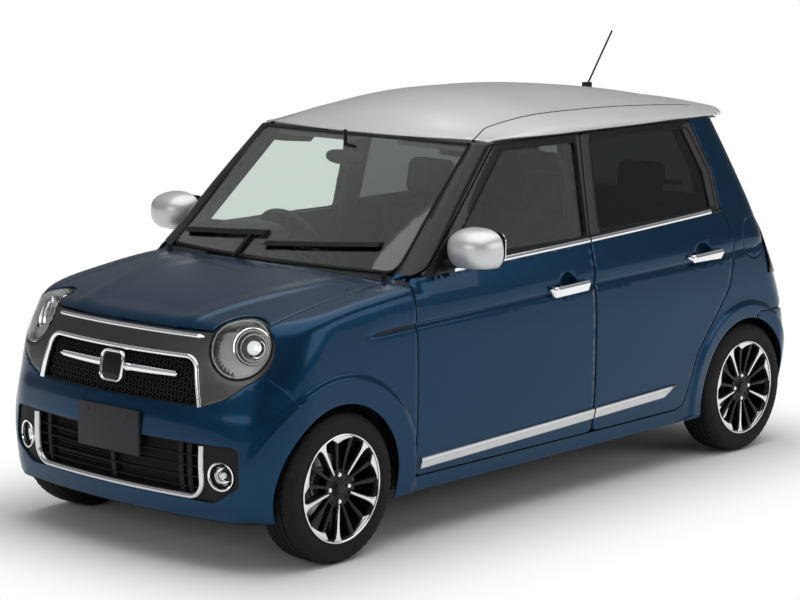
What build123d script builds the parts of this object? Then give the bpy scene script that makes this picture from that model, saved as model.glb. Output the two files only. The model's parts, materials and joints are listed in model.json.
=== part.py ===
from build123d import *
import os
from functools import cache
from math import hypot, radians, tan

os.makedirs("parts", exist_ok=True)

# A light four-door hatchback with a tall two-box body.
# Millimetres, +Z up, nose towards -Y, +X is the car's left side.
# The origin is on the ground at the middle of the body's length and width.

# ---- driving dimensions -------------------------------------------------------------------
BODY_LENGTH = 3395.0
WHEELBASE = 2520.0
FRONT_OVERHANG = 465.0
HALF_WIDTH = 737.5
BELT_Z = 1040.0            # underside of the window frames
DRIP_Z = 1453.0            # seam between the side frames and the roof panel
ROOF_TOP_Z = 1600.0
FLOOR_Z = 190.0            # underside of the body
FLOOR_T = 50.0

TYRE_R = 280.0
TYRE_WIDTH = 165.0
RIM_R = 191.0              # bead seat
HALF_TRACK = 652.5
FRONT_ARCH_R = 345.0
REAR_ARCH_R = 370.0
REAR_ARCH_Z = 218.0

DOOR_T = 50.0              # whole door, skin to trim
DOOR_SKIN = 20.0           # depth of the door's outer step
DOOR_STEP = 13.0           # how far the inner door stands in from the skin's edge
SHUT_GAP = 6.0             # between a moving panel and the body
SEAM = 0.4                 # between two panels that are bolted together
WALL_T = 90.0              # door and the pillar behind it
FLANGE = 42.0              # how far a door laps over its doorway
DOOR_SWEEP = 3.5           # extra room in the doorway's corner that the opening front door passes
PANEL_T = 25.0             # fenders and hood
BUMPER_T = 40.0
GLASS_T = 5.0
GLASS_SET = 10.0           # how far side glass stands in from the frames
ROOF_T = 30.0

FRONT_AXLE_Y = FRONT_OVERHANG - BODY_LENGTH / 2
REAR_AXLE_Y = FRONT_AXLE_Y + WHEELBASE
HUB_Z = TYRE_R


def aft(d):
    """Y of a point d millimetres behind the front axle."""
    return FRONT_AXLE_Y + d


# ---- the body's outer form ----------------------------------------------------------------
# Plan sections. Columns: z, half width, front y, how far the front bows back at the side,
# rear y, how far the rear bows forward at the side, front corner r, rear corner r.
# The y values are millimetres behind the front axle.
LOWER = [
    (FLOOR_Z, 712.0, -440.0, 80.0, 2893.0, 40.0, 170.0, 110.0),
    (390.0, HALF_WIDTH - 5, -464.0, 95.0, 2929.0, 40.0, 190.0, 120.0),
    (600.0, HALF_WIDTH, -450.0, 110.0, 2908.0, 40.0, 200.0, 130.0),
    (760.0, HALF_WIDTH - 2, -424.0, 130.0, 2850.0, 40.0, 205.0, 140.0),
    (900.0, 722.0, -366.0, 150.0, 2786.0, 40.0, 210.0, 140.0),
    (BELT_Z, 699.0, -280.0, 150.0, 2722.0, 40.0, 220.0, 130.0),
]
UPPER = [
    (1000.0, 708.0, 345.0, 100.0, 2743.0, 40.0, 60.0, 135.0),
    (BELT_Z, 699.0, 395.0, 95.0, 2722.0, 40.0, 60.0, 130.0),
    (1250.0, 655.0, 650.0, 50.0, 2608.0, 40.0, 50.0, 110.0),
    (DRIP_Z, 612.0, 908.0, 6.0, 2488.0, 40.0, 45.0, 90.0),
]
SCREEN_SLOPE = 1.5         # horizontal shift of the windshield for each mm of its thickness


def plan_section(row, t, slope):
    z, w, front, bow, rear, rear_bow, front_r, rear_r = row
    w = w - t
    yf = aft(front) + t * slope
    yr = aft(rear) - t
    edges = [
        ThreePointArc((-w, yf + bow), (0, yf), (w, yf + bow)),
        Line((w, yf + bow), (w, yr - rear_bow)),
        ThreePointArc((w, yr - rear_bow), (0, yr), (-w, yr - rear_bow)),
        Line((-w, yr - rear_bow), (-w, yf + bow)),
    ]
    face = make_face(edges)
    corners = face.vertices().sort_by(Axis.Y)
    face = fillet(corners[:2], max(front_r - t, 12))
    corners = [v for v in face.vertices() if v.Y > yr - rear_bow - 1]
    face = fillet(corners, max(rear_r - t, 12))
    return Pos(0, 0, z) * face


@cache
def lower_form(t=0.0):
    """The body below the windows, every side in by t."""
    return loft([plan_section(row, t, 1.0) for row in LOWER])


@cache
def upper_form(t=0.0):
    """The glasshouse below the roof panel, every side in by t."""
    return loft([plan_section(row, t, SCREEN_SLOPE) for row in UPPER])


def box(x0, x1, y0, y1, z0, z1):
    return Pos((x0 + x1) / 2, (y0 + y1) / 2, (z0 + z1) / 2) * Box(x1 - x0, y1 - y0, z1 - z0)


def side_prism(face, x0, x1):
    """A face drawn as (y, z), pulled from x0 to x1."""
    return Pos(x0, 0, 0) * extrude(Plane.YZ * face, x1 - x0)


def front_prism(face, y0, y1):
    """A face drawn as (x, z), pulled from y0 to y1."""
    return Pos(0, y1, 0) * extrude(Plane.XZ * face, y1 - y0)


def plan_prism(face, z0, z1):
    return Pos(0, 0, z0) * extrude(face, z1 - z0)


def outline(points, radii, grow=0.0):
    """A closed face from (a, b, ...) corners with one radius each, grown all round."""
    face = make_face(FilletPolyline(*points, radius=radii, close=True))
    if grow:
        face = offset(face, amount=grow, kind=Kind.INTERSECTION)
    return face


def mirror_x(shape):
    return mirror(shape, about=Plane.YZ)


def both(shape):
    return [shape, mirror_x(shape)]


def write(name, shapes):
    """One STEP file for one node, from one solid or several that don't touch."""
    solids = []
    for shape in shapes if isinstance(shapes, list) else [shapes]:
        solids += shape.solids()
    for s in solids:
        s.label = name
    piece = solids[0] if len(solids) == 1 else Compound(children=solids)
    piece.label = name
    export_step(piece, f"parts/{name}.step")
    return piece


# Hood line seen from the side, as (behind the axle, z).
HOOD_FRONT = (-470.0, 800.0)
HOOD_NOSE = (-392.0, 868.0)
HOOD_MID = (-60.0, 953.0)
HOOD_REAR = (352.0, 1003.0)
PILLAR_FOOT = (470.0, 1008.0)


def hood_cut(t=0.0):
    """What is below the hood line, dropped by t, and everything behind the screen's base."""
    line = (HOOD_FRONT, HOOD_NOSE, HOOD_MID, HOOD_REAR, PILLAR_FOOT)
    a, b, c, d, foot = [(aft(y), z - t) for y, z in line]
    edges = [
        Line((aft(-600), 100), (aft(-600), a[1])),
        Line((aft(-600), a[1]), a),
        Line(a, b),
        ThreePointArc(b, c, d),
        Line(d, foot),
        Line(foot, (foot[0], BELT_Z + 40)),
        Line((foot[0], BELT_Z + 40), (aft(3100), BELT_Z + 40)),
        Line((aft(3100), BELT_Z + 40), (aft(3100), 100)),
        Line((aft(3100), 100), (aft(-600), 100)),
    ]
    return side_prism(make_face(edges), -900, 900)


ARCH_FRONT = Pos(0, FRONT_AXLE_Y, HUB_Z) * Rot(0, 90, 0) * Cylinder(FRONT_ARCH_R, 2000)
ARCH_REAR = Pos(0, REAR_AXLE_Y, REAR_ARCH_Z) * Rot(0, 90, 0) * Cylinder(REAR_ARCH_R, 2000)
HOUSE_X = 400.0            # inner wall of a front wheelhouse
REAR_HOUSE_X = 545.0


def arch(cylinder, x_in):
    return cylinder - box(-x_in, x_in, aft(-600), aft(3100), -400, 1200)


FRONT_ARCHES = arch(ARCH_FRONT, HOUSE_X)
REAR_ARCHES = arch(ARCH_REAR, REAR_HOUSE_X)

LOWER_0 = lower_form()
UPPER_0 = upper_form()
FRONT_0 = LOWER_0 & hood_cut()

# ---- side outlines, as (behind the axle, z) ---------------------------------------------------
DOOR_BOTTOM_Z = 252.0
DOOR_TOP_Z = DRIP_Z - 6.0
A_LINE = 405.0
B_LINE = 1470.0
B_TOP = 1503.0
B_SPLIT = 2.0              # each door's outline stands this far off the B line


def aft_points(points):
    return [(aft(y), z) for y, z in points]


FRONT_DOOR = aft_points([
    (A_LINE, DOOR_BOTTOM_Z), (B_LINE - B_SPLIT, DOOR_BOTTOM_Z), (B_LINE - B_SPLIT, BELT_Z),
    (B_TOP - B_SPLIT, DOOR_TOP_Z),
    (975.0, DOOR_TOP_Z), (505.0, 1024.0), (A_LINE, 985.0),
])
FRONT_DOOR_R = [30, 30, 300, 25, 40, 60, 60]
REAR_DOOR = aft_points([
    (B_LINE + B_SPLIT, DOOR_BOTTOM_Z), (2085.0, DOOR_BOTTOM_Z), (2170.0, 480.0), (2400.0, 740.0),
    (2445.0, 950.0), (2368.0, 1085.0), (2352.0, 1230.0), (2248.0, DOOR_TOP_Z),
    (B_TOP + B_SPLIT, DOOR_TOP_Z), (B_LINE + B_SPLIT, BELT_Z),
])
REAR_DOOR_R = [30, 60, 120, 200, 60, 60, 200, 40, 25, 300]
FRONT_WINDOW = aft_points([
    (800.0, BELT_Z + 4), (1452.0, BELT_Z + 4), (1472.0, 1418.0), (1018.0, 1418.0), (640.0, BELT_Z + 30),
])
FRONT_WINDOW_R = [60, 20, 20, 40, 20]
REAR_WINDOW = aft_points([
    (1535.0, BELT_Z + 22), (2345.0, BELT_Z + 22), (2330.0, 1225.0), (2222.0, 1418.0), (1560.0, 1418.0),
])
REAR_WINDOW_R = [20, 25, 150, 30, 20]


# ---- the side walls ------------------------------------------------------------------------
def half(shape, z0, z1):
    """The +X side of a form between two heights."""
    return shape & box(350, 900, aft(-600), aft(3100), z0, z1)


def half_body(t=0.0):
    """The +X side of the body below the drip seam, in by t."""
    return half(lower_form(t) & hood_cut(), 0, BELT_Z) + half(upper_form(t), BELT_Z, DRIP_Z)


BODY = half_body()
CORE_SKIN = half_body(DOOR_SKIN)
CORE_DOOR = half_body(DOOR_T)
CORE_POCKET = half_body(DOOR_T + SHUT_GAP)
CORE_CABIN = half_body(WALL_T)


def door(points, radii, window, window_r):
    """A door: the wall inside its outline, stepped in behind the skin, with its window cut."""
    g = SHUT_GAP / 2
    skin = side_prism(outline(points, radii, -g), 350, 900)
    inner = side_prism(outline(points, radii, -g - DOOR_STEP), 350, 900)
    hole = side_prism(outline(window, window_r), 350, 900)
    return (BODY & skin) - CORE_DOOR - ((skin - inner) & CORE_SKIN) - hole


def pane(window, window_r):
    """Side glass in a door, 0.3 mm inside the window's edge."""
    prism = side_prism(outline(window, window_r, -0.3), 350, 900)
    glass = half(upper_form(GLASS_SET), BELT_Z, DRIP_Z) & prism
    return glass - upper_form(GLASS_SET + GLASS_T)


SCREEN = [(-602.0, 1006.0), (602.0, 1006.0), (550.0, 1444.0), (-550.0, 1444.0)]
SCREEN_CORNER_R = [30, 30, 25, 25]
TAILGATE = [(-548.0, 604.0), (548.0, 604.0), (572.0, 1040.0), (535.0, DRIP_Z + 60), (-535.0, DRIP_Z + 60),
            (-572.0, 1040.0)]
TAILGATE_R = [40, 40, 300, 10, 10, 300]
TAILGATE_EDGE_Y = 2455.0   # where the roof panel ends, behind the front axle
REAR_GLASS = [(-505.0, 1072.0), (505.0, 1072.0), (468.0, 1405.0), (-468.0, 1405.0)]
REAR_GLASS_R = [40, 40, 40, 40]
TAIL_LAMP = (580.0, 760.0, 1035.0)      # inner edge x, bottom z, top z
TAIL_LAMP_Y = 2692.0
FUEL_LID_Y, FUEL_LID_Z, FUEL_LID_R = 2590.0, 925.0, 88.0
BUMPER_TOP_Z = 600.0
REAR_BUMPER_Y = 2600.0


# Door hinges: each axis leans inboard with the body side. The pins stand in the shut line.
HINGE_LEAN = 3.0
HINGE_X, HINGE_REF_Z = 735.5, 700.0
HINGE_Z = [(600.0, 660.0), (820.0, 880.0)]
HINGE_R = SHUT_GAP / 2 - 0.3
LID_HINGE_X, LID_HINGE_Y = 716.5, 2501.5
LID_HINGE_R = 3.2
LID_LEAN = 9.3


def leaning_pin(x, y, z0, z1, r, lean, x_ref_z):
    """A pin on an axis that leans inboard, given its x at one height."""
    mid = (z0 + z1) / 2
    at_x = x - tan(radians(lean)) * (mid - x_ref_z)
    return Pos(at_x, y, mid) * Rot(0, -lean, 0) * Cylinder(r, z1 - z0)


def door_hinges(y):
    """Two pins on one door's axis and the webs that carry them off the pillar."""
    pins = []
    for z0, z1 in HINGE_Z:
        pins.append(leaning_pin(HINGE_X, y, z0, z1, HINGE_R, HINGE_LEAN, HINGE_REF_Z))
        reach = HINGE_X - tan(radians(HINGE_LEAN)) * (z1 - HINGE_REF_Z)
        pins.append(box(655, reach, y - HINGE_R + 0.1, y + HINGE_R - 0.1, z0, z1))
    return pins


def side_frame():
    """Sill, pillars, cant rail and quarter panel of the +X side, with its doorways."""
    frame = BODY - CORE_CABIN
    frame = frame & box(350, 900, aft(A_LINE) - SHUT_GAP / 2, aft(3100), 0, DRIP_Z - SEAM)
    for points, radii in ((FRONT_DOOR, FRONT_DOOR_R), (REAR_DOOR, REAR_DOOR_R)):
        frame -= side_prism(outline(points, radii, SHUT_GAP / 2), 350, 900) - CORE_POCKET
        frame -= side_prism(outline(points, radii, -FLANGE), 350, 900)
    frame -= front_prism(outline(SCREEN, SCREEN_CORNER_R, SEAM), aft(200), aft(960))
    opening = front_prism(outline(TAILGATE, TAILGATE_R, SHUT_GAP / 2), aft(2350), aft(3100))
    frame -= opening - lower_form(DOOR_T + SHUT_GAP) - upper_form(DOOR_T + SHUT_GAP)
    frame -= front_prism(outline(TAILGATE, TAILGATE_R, -FLANGE), aft(2350), aft(3100))
    frame -= box(350, 900, aft(REAR_BUMPER_Y), aft(3100), 0, BUMPER_TOP_Z + SEAM)
    frame -= REAR_ARCHES
    lamp_x, lamp_z0, lamp_z1 = TAIL_LAMP
    frame -= box(lamp_x, 900, aft(TAIL_LAMP_Y), aft(3100), lamp_z0, lamp_z1) - lower_form(BUMPER_T)
    swept = side_prism(outline(FRONT_DOOR, FRONT_DOOR_R, SHUT_GAP / 2 + DOOR_SWEEP), 600, 655)
    frame -= swept & box(600, 655, aft(556), aft(636), 1030, 1100)
    for pin in door_hinges(aft(A_LINE)) + door_hinges(aft(B_LINE + B_SPLIT)):
        frame += pin
    return frame


def with_lid_pocket(frame):
    """The fuel lid's pocket and hinge pin, on one side of the car only."""
    lid = Pos(0, aft(FUEL_LID_Y), FUEL_LID_Z) * Rot(0, 90, 0)
    frame = frame - ((lid * Cylinder(FUEL_LID_R + SHUT_GAP / 2, 2000)) - CORE_SKIN)
    return frame + leaning_pin(LID_HINGE_X, aft(LID_HINGE_Y), FUEL_LID_Z - 12, FUEL_LID_Z + 12, LID_HINGE_R,
                               LID_LEAN, FUEL_LID_Z)


left_front_door = door(FRONT_DOOR, FRONT_DOOR_R, FRONT_WINDOW, FRONT_WINDOW_R)
left_rear_door = door(REAR_DOOR, REAR_DOOR_R, REAR_WINDOW, REAR_WINDOW_R)
left_front_glass = pane(FRONT_WINDOW, FRONT_WINDOW_R)
left_rear_glass = pane(REAR_WINDOW, REAR_WINDOW_R)

# Door handles: a bar on two feet. Columns: middle behind the axle, z, length.
HANDLES = [(1300.0, 866.0, 240.0), (2215.0, 888.0, 240.0)]
HANDLE_H = 24.0
HANDLE_T = 14.0
HANDLE_REACH = 34.0


def handle(row):
    """A pull bar that stands off the door on a foot at each end."""
    mid, z, length = row
    y0, y1 = aft(mid) - length / 2, aft(mid) + length / 2
    grip = box(690, 790, y0, y1, z - HANDLE_H / 2, z + HANDLE_H / 2)
    outer = half(lower_form(-HANDLE_REACH), 0, BELT_Z) & grip
    bar = outer - lower_form(HANDLE_T - HANDLE_REACH)
    feet = (outer & (box(0, 900, y0, y0 + 40, 0, 2000) + box(0, 900, y1 - 40, y1, 0, 2000))) - lower_form(1)
    return bar + feet


# Bright strip low on the doors: bottom z at the front and at the rear, and its height.
STRIP_FRONT = (430.0, 277.0)
STRIP_REAR = (2022.0, 322.0)
STRIP_H = 48.0
STRIP_T = 9.0


def strip(y0, y1):
    """The part of the sill strip between two points behind the front axle."""
    slope = (STRIP_REAR[1] - STRIP_FRONT[1]) / (STRIP_REAR[0] - STRIP_FRONT[0])
    z0 = STRIP_FRONT[1] + slope * (y0 - STRIP_FRONT[0])
    z1 = STRIP_FRONT[1] + slope * (y1 - STRIP_FRONT[0])
    tip = 60.0 if y1 == STRIP_REAR[0] else 0.0
    face = make_face(Polyline(*aft_points([
        (y0, z0), (y1 - tip, z1), (y1, z1 + STRIP_H), (y0, z0 + STRIP_H)]), close=True))
    grown = half(lower_form(-STRIP_T), 0, BELT_Z) & side_prism(face, 350, 900)
    return grown - lower_form(1)


front_strip = strip(STRIP_FRONT[0], B_LINE - B_SPLIT - SHUT_GAP / 2)
rear_strip = strip(B_LINE + B_SPLIT + SHUT_GAP / 2, STRIP_REAR[0])
left_front_door = left_front_door + handle(HANDLES[0]) + front_strip
left_rear_door = left_rear_door + handle(HANDLES[1]) + rear_strip

# Door mirror: a housing carried on an arm from the door's front corner.
MIRROR_X = (742.0, 920.0)
MIRROR_Y = (570.0, 728.0)
MIRROR_Z = (1016.0, 1172.0)
MIRROR_R = 45.0
MIRROR_ARM_Y = (535.0, 645.0)
MIRROR_ARM_Z = (1020.0, 1052.0)


def door_mirror():
    """Housing with rounded edges, and the arm that holds it off the door."""
    housing = box(*MIRROR_X, aft(MIRROR_Y[0]), aft(MIRROR_Y[1]), *MIRROR_Z)
    housing = fillet(housing.edges(), MIRROR_R)
    arm = box(640, MIRROR_X[0] + 40, aft(MIRROR_ARM_Y[0]), aft(MIRROR_ARM_Y[1]), *MIRROR_ARM_Z)
    return housing + (arm - lower_form(-0.3) - upper_form(-0.3))


write("door_front_left", left_front_door)
write("door_front_right", mirror_x(left_front_door))
write("door_rear_left", left_rear_door)
write("door_rear_right", mirror_x(left_rear_door))
write("glass_front_left", left_front_glass)
write("glass_front_right", mirror_x(left_front_glass))
write("glass_rear_left", left_rear_glass)
write("glass_rear_right", mirror_x(left_rear_glass))
left_mirror = door_mirror()
write("mirror_left", left_mirror)
write("mirror_right", mirror_x(left_mirror))
plain_side = side_frame()
write("side_frames", [with_lid_pocket(plain_side), mirror_x(plain_side)])


# ---- front ----------------------------------------------------------------------------------
BAY_CORE = lower_form(PANEL_T) & hood_cut(PANEL_T)
BUMPER_CORE = lower_form(BUMPER_T) & hood_cut(PANEL_T)
BUMPER_SEAM = aft_points([(-600.0, 100.0), (-600.0, 700.0), (-287.0, 700.0), (-128.0, 545.0),
                          (-128.0, 100.0)])
NOSE_TOP_Z = 860.0
NOSE = [(-440.0, 600.0), (440.0, 600.0), (490.0, 700.0), (600.0, 740.0), (560.0, NOSE_TOP_Z),
        (-560.0, NOSE_TOP_Z), (-600.0, 740.0), (-490.0, 700.0)]
NOSE_R = [40, 40, 20, 20, 10, 10, 20, 20]
LAMP_AT = (530.0, -300.0, 811.0)
LAMP_R = 120.0
LAMP_YAW = 26.6            # outwards
LAMP_TILT = 17.8           # upwards
GRILLE = [(-427.0, 606.0), (427.0, 606.0), (385.0, 775.0), (-385.0, 775.0)]
GRILLE_R = [8, 8, 60, 60]
INTAKE = [(-600.0, 468.0), (600.0, 468.0), (600.0, 330.0), (480.0, 262.0), (-480.0, 262.0),
          (-600.0, 330.0)]
INTAKE_R = [30, 30, 40, 60, 60, 40]
FOG_X, FOG_Z, FOG_R = 531.0, 363.0, 53.0
PLATE_W, PLATE_H, PLATE_Z = 330.0, 165.0, 474.0
PLATE_Y = -449.0
PLATE_T = 12.0
PLATE_HOLE_R = 3.25
PLATE_HOLE_X = 105.0
PLATE_HOLE_Z = PLATE_Z + PLATE_H / 2 - 25.0
HOOD_HALF = 600.0
HOOD_REAR_Y = 386.0        # at its corners, behind the front axle
HOOD_MID_Y = 322.0         # on the centreline
HOOD_HINGE_Y, HOOD_HINGE_Z, HOOD_HINGE_R = 386.0, 1000.0, 4.5
HOOD_PIN_X = (572.0, 592.0)


def lamp_plug(grow):
    """The round socket of a headlamp, along its own axis, on the +X side."""
    x, y, z = LAMP_AT
    turn = Rot(0, 0, LAMP_YAW) * Rot(90 - LAMP_TILT, 0, 0)
    return Pos(x, aft(y), z) * turn * Cylinder(LAMP_R + grow, 360)


def lamp_plugs(grow):
    plug = lamp_plug(grow)
    return plug + mirror_x(plug)


hood_edges = [
    Line((-HOOD_HALF, aft(-600)), (HOOD_HALF, aft(-600))),
    Line((HOOD_HALF, aft(-600)), (HOOD_HALF, aft(HOOD_REAR_Y))),
    ThreePointArc((HOOD_HALF, aft(HOOD_REAR_Y)), (0, aft(HOOD_MID_Y)), (-HOOD_HALF, aft(HOOD_REAR_Y))),
    Line((-HOOD_HALF, aft(HOOD_REAR_Y)), (-HOOD_HALF, aft(-600))),
]
HOOD_PLAN = make_face(hood_edges)


def hood_region(grow):
    """The hood's outline in plan, grown all round, above the nose panel."""
    plan = offset(HOOD_PLAN, amount=grow, kind=Kind.INTERSECTION)
    return plan_prism(plan, NOSE_TOP_Z + SHUT_GAP / 2 - grow, 1200)


front_skin = FRONT_0 - BAY_CORE
hood = (front_skin & hood_region(-SHUT_GAP / 2)) - lamp_plugs(SHUT_GAP)
write("hood", hood)

nose_region = front_prism(outline(NOSE, NOSE_R), aft(-600), aft(-150))
bumper_region = side_prism(make_face(Polyline(*BUMPER_SEAM, close=True)), -900, 900)
fender = FRONT_0 - BAY_CORE
fender = fender & box(350, 900, aft(-600), aft(A_LINE) - SHUT_GAP / 2 - SEAM, 0, 1200)
fender = fender - bumper_region - nose_region - hood_region(SHUT_GAP / 2) - lamp_plug(SEAM) - ARCH_FRONT
fender = fender - side_prism(outline(FRONT_DOOR, FRONT_DOOR_R, SHUT_GAP / 2), 350, 900)
fender -= box(HOOD_PIN_X[0] - 2, HOOD_PIN_X[1] + 2, aft(HOOD_REAR_Y) - 15,
              aft(HOOD_HINGE_Y) + HOOD_HINGE_R + 1.5, 900, 1100)
write("front_fenders", both(max(fender.solids(), key=lambda s: s.volume)))

grille_hole = front_prism(outline(GRILLE, GRILLE_R), aft(-600), aft(-150))
nose_panel = (FRONT_0 - BUMPER_CORE) & front_prism(outline(NOSE, NOSE_R, -SEAM), aft(-600), aft(-150))
nose_panel = nose_panel - lamp_plugs(SEAM) - grille_hole
write("nose_panel", max(nose_panel.solids(), key=lambda s: s.volume))


def plate(y_face, towards):
    """A blank number plate carrier with its two holes, its face at y_face."""
    y0, y1 = sorted((y_face, y_face - towards * PLATE_T))
    pad = box(-PLATE_W / 2, PLATE_W / 2, y0, y1, PLATE_Z - PLATE_H / 2, PLATE_Z + PLATE_H / 2)
    return pad - plate_holes(PLATE_HOLE_Z, y0 - 1, y1 + 1)


def plate_holes(z, y0, y1):
    """The two fixing holes at one height, from y0 to y1."""
    hole = Pos(PLATE_HOLE_X, (y0 + y1) / 2, z) * Rot(90, 0, 0) * Cylinder(PLATE_HOLE_R, y1 - y0)
    return hole + mirror_x(hole)


intake_hole = front_prism(outline(INTAKE, INTAKE_R), aft(-600), aft(-150))
plate_seat = box(-PLATE_W / 2 - SEAM, PLATE_W / 2 + SEAM, aft(-600), aft(PLATE_Y) + PLATE_T + SEAM,
                 PLATE_Z - PLATE_H / 2 - SEAM, PLATE_Z + PLATE_H / 2 + SEAM)
front_bumper = (LOWER_0 - BUMPER_CORE) & bumper_region
front_bumper = front_bumper - front_prism(outline(NOSE, NOSE_R, SEAM), aft(-600), aft(-150)) - intake_hole
front_bumper = front_bumper - ARCH_FRONT - lamp_plugs(SEAM) - plate_seat
front_bumper = front_bumper - plate_holes(PLATE_HOLE_Z, aft(-470), aft(-380))
write("front_bumper", max(front_bumper.solids(), key=lambda s: s.volume))


write("front_plate", plate(aft(PLATE_Y), -1))

GRILLE_SET = 14.0
GRILLE_T = 16.0
SLAT = 9.0
SLAT_PITCH = 26.0


def slatted(region, z0, z1, half_w):
    """A grille: the panel's form set in, cut into slats, with posts left between them."""
    form = (lower_form(GRILLE_SET) - lower_form(GRILLE_SET + GRILLE_T)) & region
    count = int((z1 - z0) / SLAT_PITCH)
    for i in range(count):
        z = z0 + SLAT_PITCH * (i + 0.5)
        for x0, x1 in ((-half_w, -8), (8, half_w)):
            form -= box(x0, x1, aft(-600), aft(-100), z, z + SLAT_PITCH - SLAT)
    return form


fog = Pos(FOG_X, aft(-400), FOG_Z) * Rot(90, 0, 0)
fogs = fog * Cylinder(FOG_R, 300)
fogs = fogs + mirror_x(fogs)
fog_holes = fog * Cylinder(FOG_R + SEAM, 400)
fog_holes = fog_holes + mirror_x(fog_holes)
upper = slatted(front_prism(outline(GRILLE, GRILLE_R, -SEAM), aft(-600), aft(-150)), 612, 760, 350)
lower = slatted(front_prism(outline(INTAKE, INTAKE_R, -SEAM), aft(-600), aft(-150)), 275, 462, 430)
lower = lower - fog_holes - plate_seat
write("grilles", [max(s.solids(), key=lambda p: p.volume) for s in (upper, lower)])
fog_lamps = (lower_form(4) - lower_form(60)) & fogs
write("fog_lamps", fog_lamps)
LAMP_DEPTH = 90.0
lamp_form = lower_form(2) & hood_cut(2)
headlamp = (lamp_form & lamp_plug(0)) - (lower_form(LAMP_DEPTH) & hood_cut(LAMP_DEPTH))
headlamp = headlamp & box(300, 900, aft(-600), aft(0), 600, 1000)
write("headlamps", both(max(headlamp.solids(), key=lambda s: s.volume)))

# ---- windshield, wipers, roof and rear -------------------------------------------------------
screen_prism = front_prism(outline(SCREEN, SCREEN_CORNER_R), aft(200), aft(1000))
windshield = (upper_form() - upper_form(GLASS_T)) & screen_prism
windshield -= box(-900, 900, aft(1000), aft(3100), 0, 2000)
write("windshield", windshield)

# Wipers lie near the foot of the glass. Columns: pivot x, blade's inner x, blade's outer x.
WIPERS = [(420.0, -60.0, 470.0), (-170.0, -560.0, -90.0)]
WIPER_T = 12.0
WIPER_W = 16.0


def wiper(row):
    """A blade on the glass and the arm that comes up from the cowl."""
    pivot, x0, x1 = row
    clad = upper_form(-WIPER_T) - upper_form(-SEAM)
    blade = Pos((x0 + x1) / 2, aft(470), 1075) * Rot(0, -4, 0) * Box(x1 - x0, 400, WIPER_W)
    arm = Pos(pivot, aft(430), 1040) * Box(WIPER_W, 400, 78)
    piece = clad & (blade + arm) & box(-900, 900, aft(250), aft(620), 1003, 1200)
    return max(piece.solids(), key=lambda s: s.volume)


write("wipers", [wiper(row) for row in WIPERS])

ROOF_EDGE = (612.0, DRIP_Z)
ROOF_SHOULDER = (500.0, 1534.0)
ROOF_MID = (585.0, 1503.0)
ROOF_CROWN = (270.0, 1581.0)
# Roof line seen from the side, as (behind the axle, z): header, crown, tail.
ROOF_LINE = [(905.0, DRIP_Z), (1050.0, 1527.0), (1240.0, 1580.0), (1640.0, 1599.0), (2080.0, 1566.0),
             (2340.0, 1538.0), (2585.0, 1490.0)]
ROOF_TAIL_Y = 2585.0


def roof_form(t=0.0):
    """The crowned roof over the drip seam, thinned by t."""
    cross = [(ROOF_EDGE[0] - t, ROOF_EDGE[1]), (ROOF_MID[0] - t, ROOF_MID[1] - t / 2),
             (ROOF_SHOULDER[0] - t / 2, ROOF_SHOULDER[1] - t), (ROOF_CROWN[0], ROOF_CROWN[1] - t),
             (0.0, ROOF_TOP_Z - t)]
    right = [ThreePointArc(*cross[0:3]), ThreePointArc(*cross[2:5])]
    left = [mirror(e, about=Plane.YZ) for e in right]
    base = Line((-cross[0][0], cross[0][1]), cross[0])
    across = front_prism(make_face(right + left + [base]), aft(800), aft(2700))
    line = [(aft(y) + (t * SCREEN_SLOPE if i == 0 else 0), z - (t if i else 0))
            for i, (y, z) in enumerate(ROOF_LINE)]
    along = [ThreePointArc(*line[0:3]), ThreePointArc(*line[2:5]), ThreePointArc(*line[4:7])]
    along += [Line(line[6], (line[6][0], DRIP_Z)), Line((line[6][0], DRIP_Z), line[0])]
    row = (DRIP_Z, UPPER[-1][1], UPPER[-1][2], UPPER[-1][3], ROOF_TAIL_Y, 30.0, UPPER[-1][6], 60.0)
    plan = extrude(plan_section(row, t, SCREEN_SLOPE), 300)
    return across & side_prism(make_face(along), -900, 900) & plan


roof = roof_form() - roof_form(ROOF_T)
GATE_HINGE_Z = 1517.5
GATE_HINGE_X = (350.0, 410.0)
gate_pin = Pos(sum(GATE_HINGE_X) / 2, aft(TAILGATE_EDGE_Y), GATE_HINGE_Z) * Rot(0, 90, 0)
gate_pin = gate_pin * Cylinder(HINGE_R, GATE_HINGE_X[1] - GATE_HINGE_X[0])
gate_pin += box(*GATE_HINGE_X, aft(TAILGATE_EDGE_Y) - 8, aft(TAILGATE_EDGE_Y), GATE_HINGE_Z - HINGE_R + 0.1,
                GATE_HINGE_Z)
roof_panel = roof & box(-900, 900, aft(800), aft(TAILGATE_EDGE_Y) - SHUT_GAP / 2, DRIP_Z, 1700)
roof_panel = roof_panel + gate_pin + mirror_x(gate_pin)
write("roof_panel", roof_panel)
spoiler_box = box(-900, 900, aft(TAILGATE_EDGE_Y) + SHUT_GAP / 2, aft(2700), DRIP_Z + SHUT_GAP, 1700)
spoiler = roof_form() & spoiler_box

tailgate_prism = front_prism(outline(TAILGATE, TAILGATE_R, -SHUT_GAP / 2), aft(2350), aft(3100))
rear_half = box(-900, 900, aft(TAILGATE_EDGE_Y) + SHUT_GAP / 2, aft(3100), 0, 2000)
gate_low = (LOWER_0 - lower_form(DOOR_T)) & tailgate_prism & rear_half
gate_low = gate_low & box(-900, 900, aft(2350), aft(3100), 0, BELT_Z)
gate_high = (UPPER_0 - upper_form(DOOR_T)) & tailgate_prism
gate_high = gate_high & box(-900, 900, aft(2350), aft(3100), BELT_Z, DRIP_Z)
tailgate = gate_low + gate_high + spoiler
GATE_NECK = (520.0, 2465.0, 2500.0)      # half width, front y, rear y: joins the spoiler to the frame
neck = box(-GATE_NECK[0], GATE_NECK[0], aft(GATE_NECK[1]), aft(GATE_NECK[2]), DRIP_Z - 20, DRIP_Z + 10)
tailgate = tailgate + neck
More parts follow.
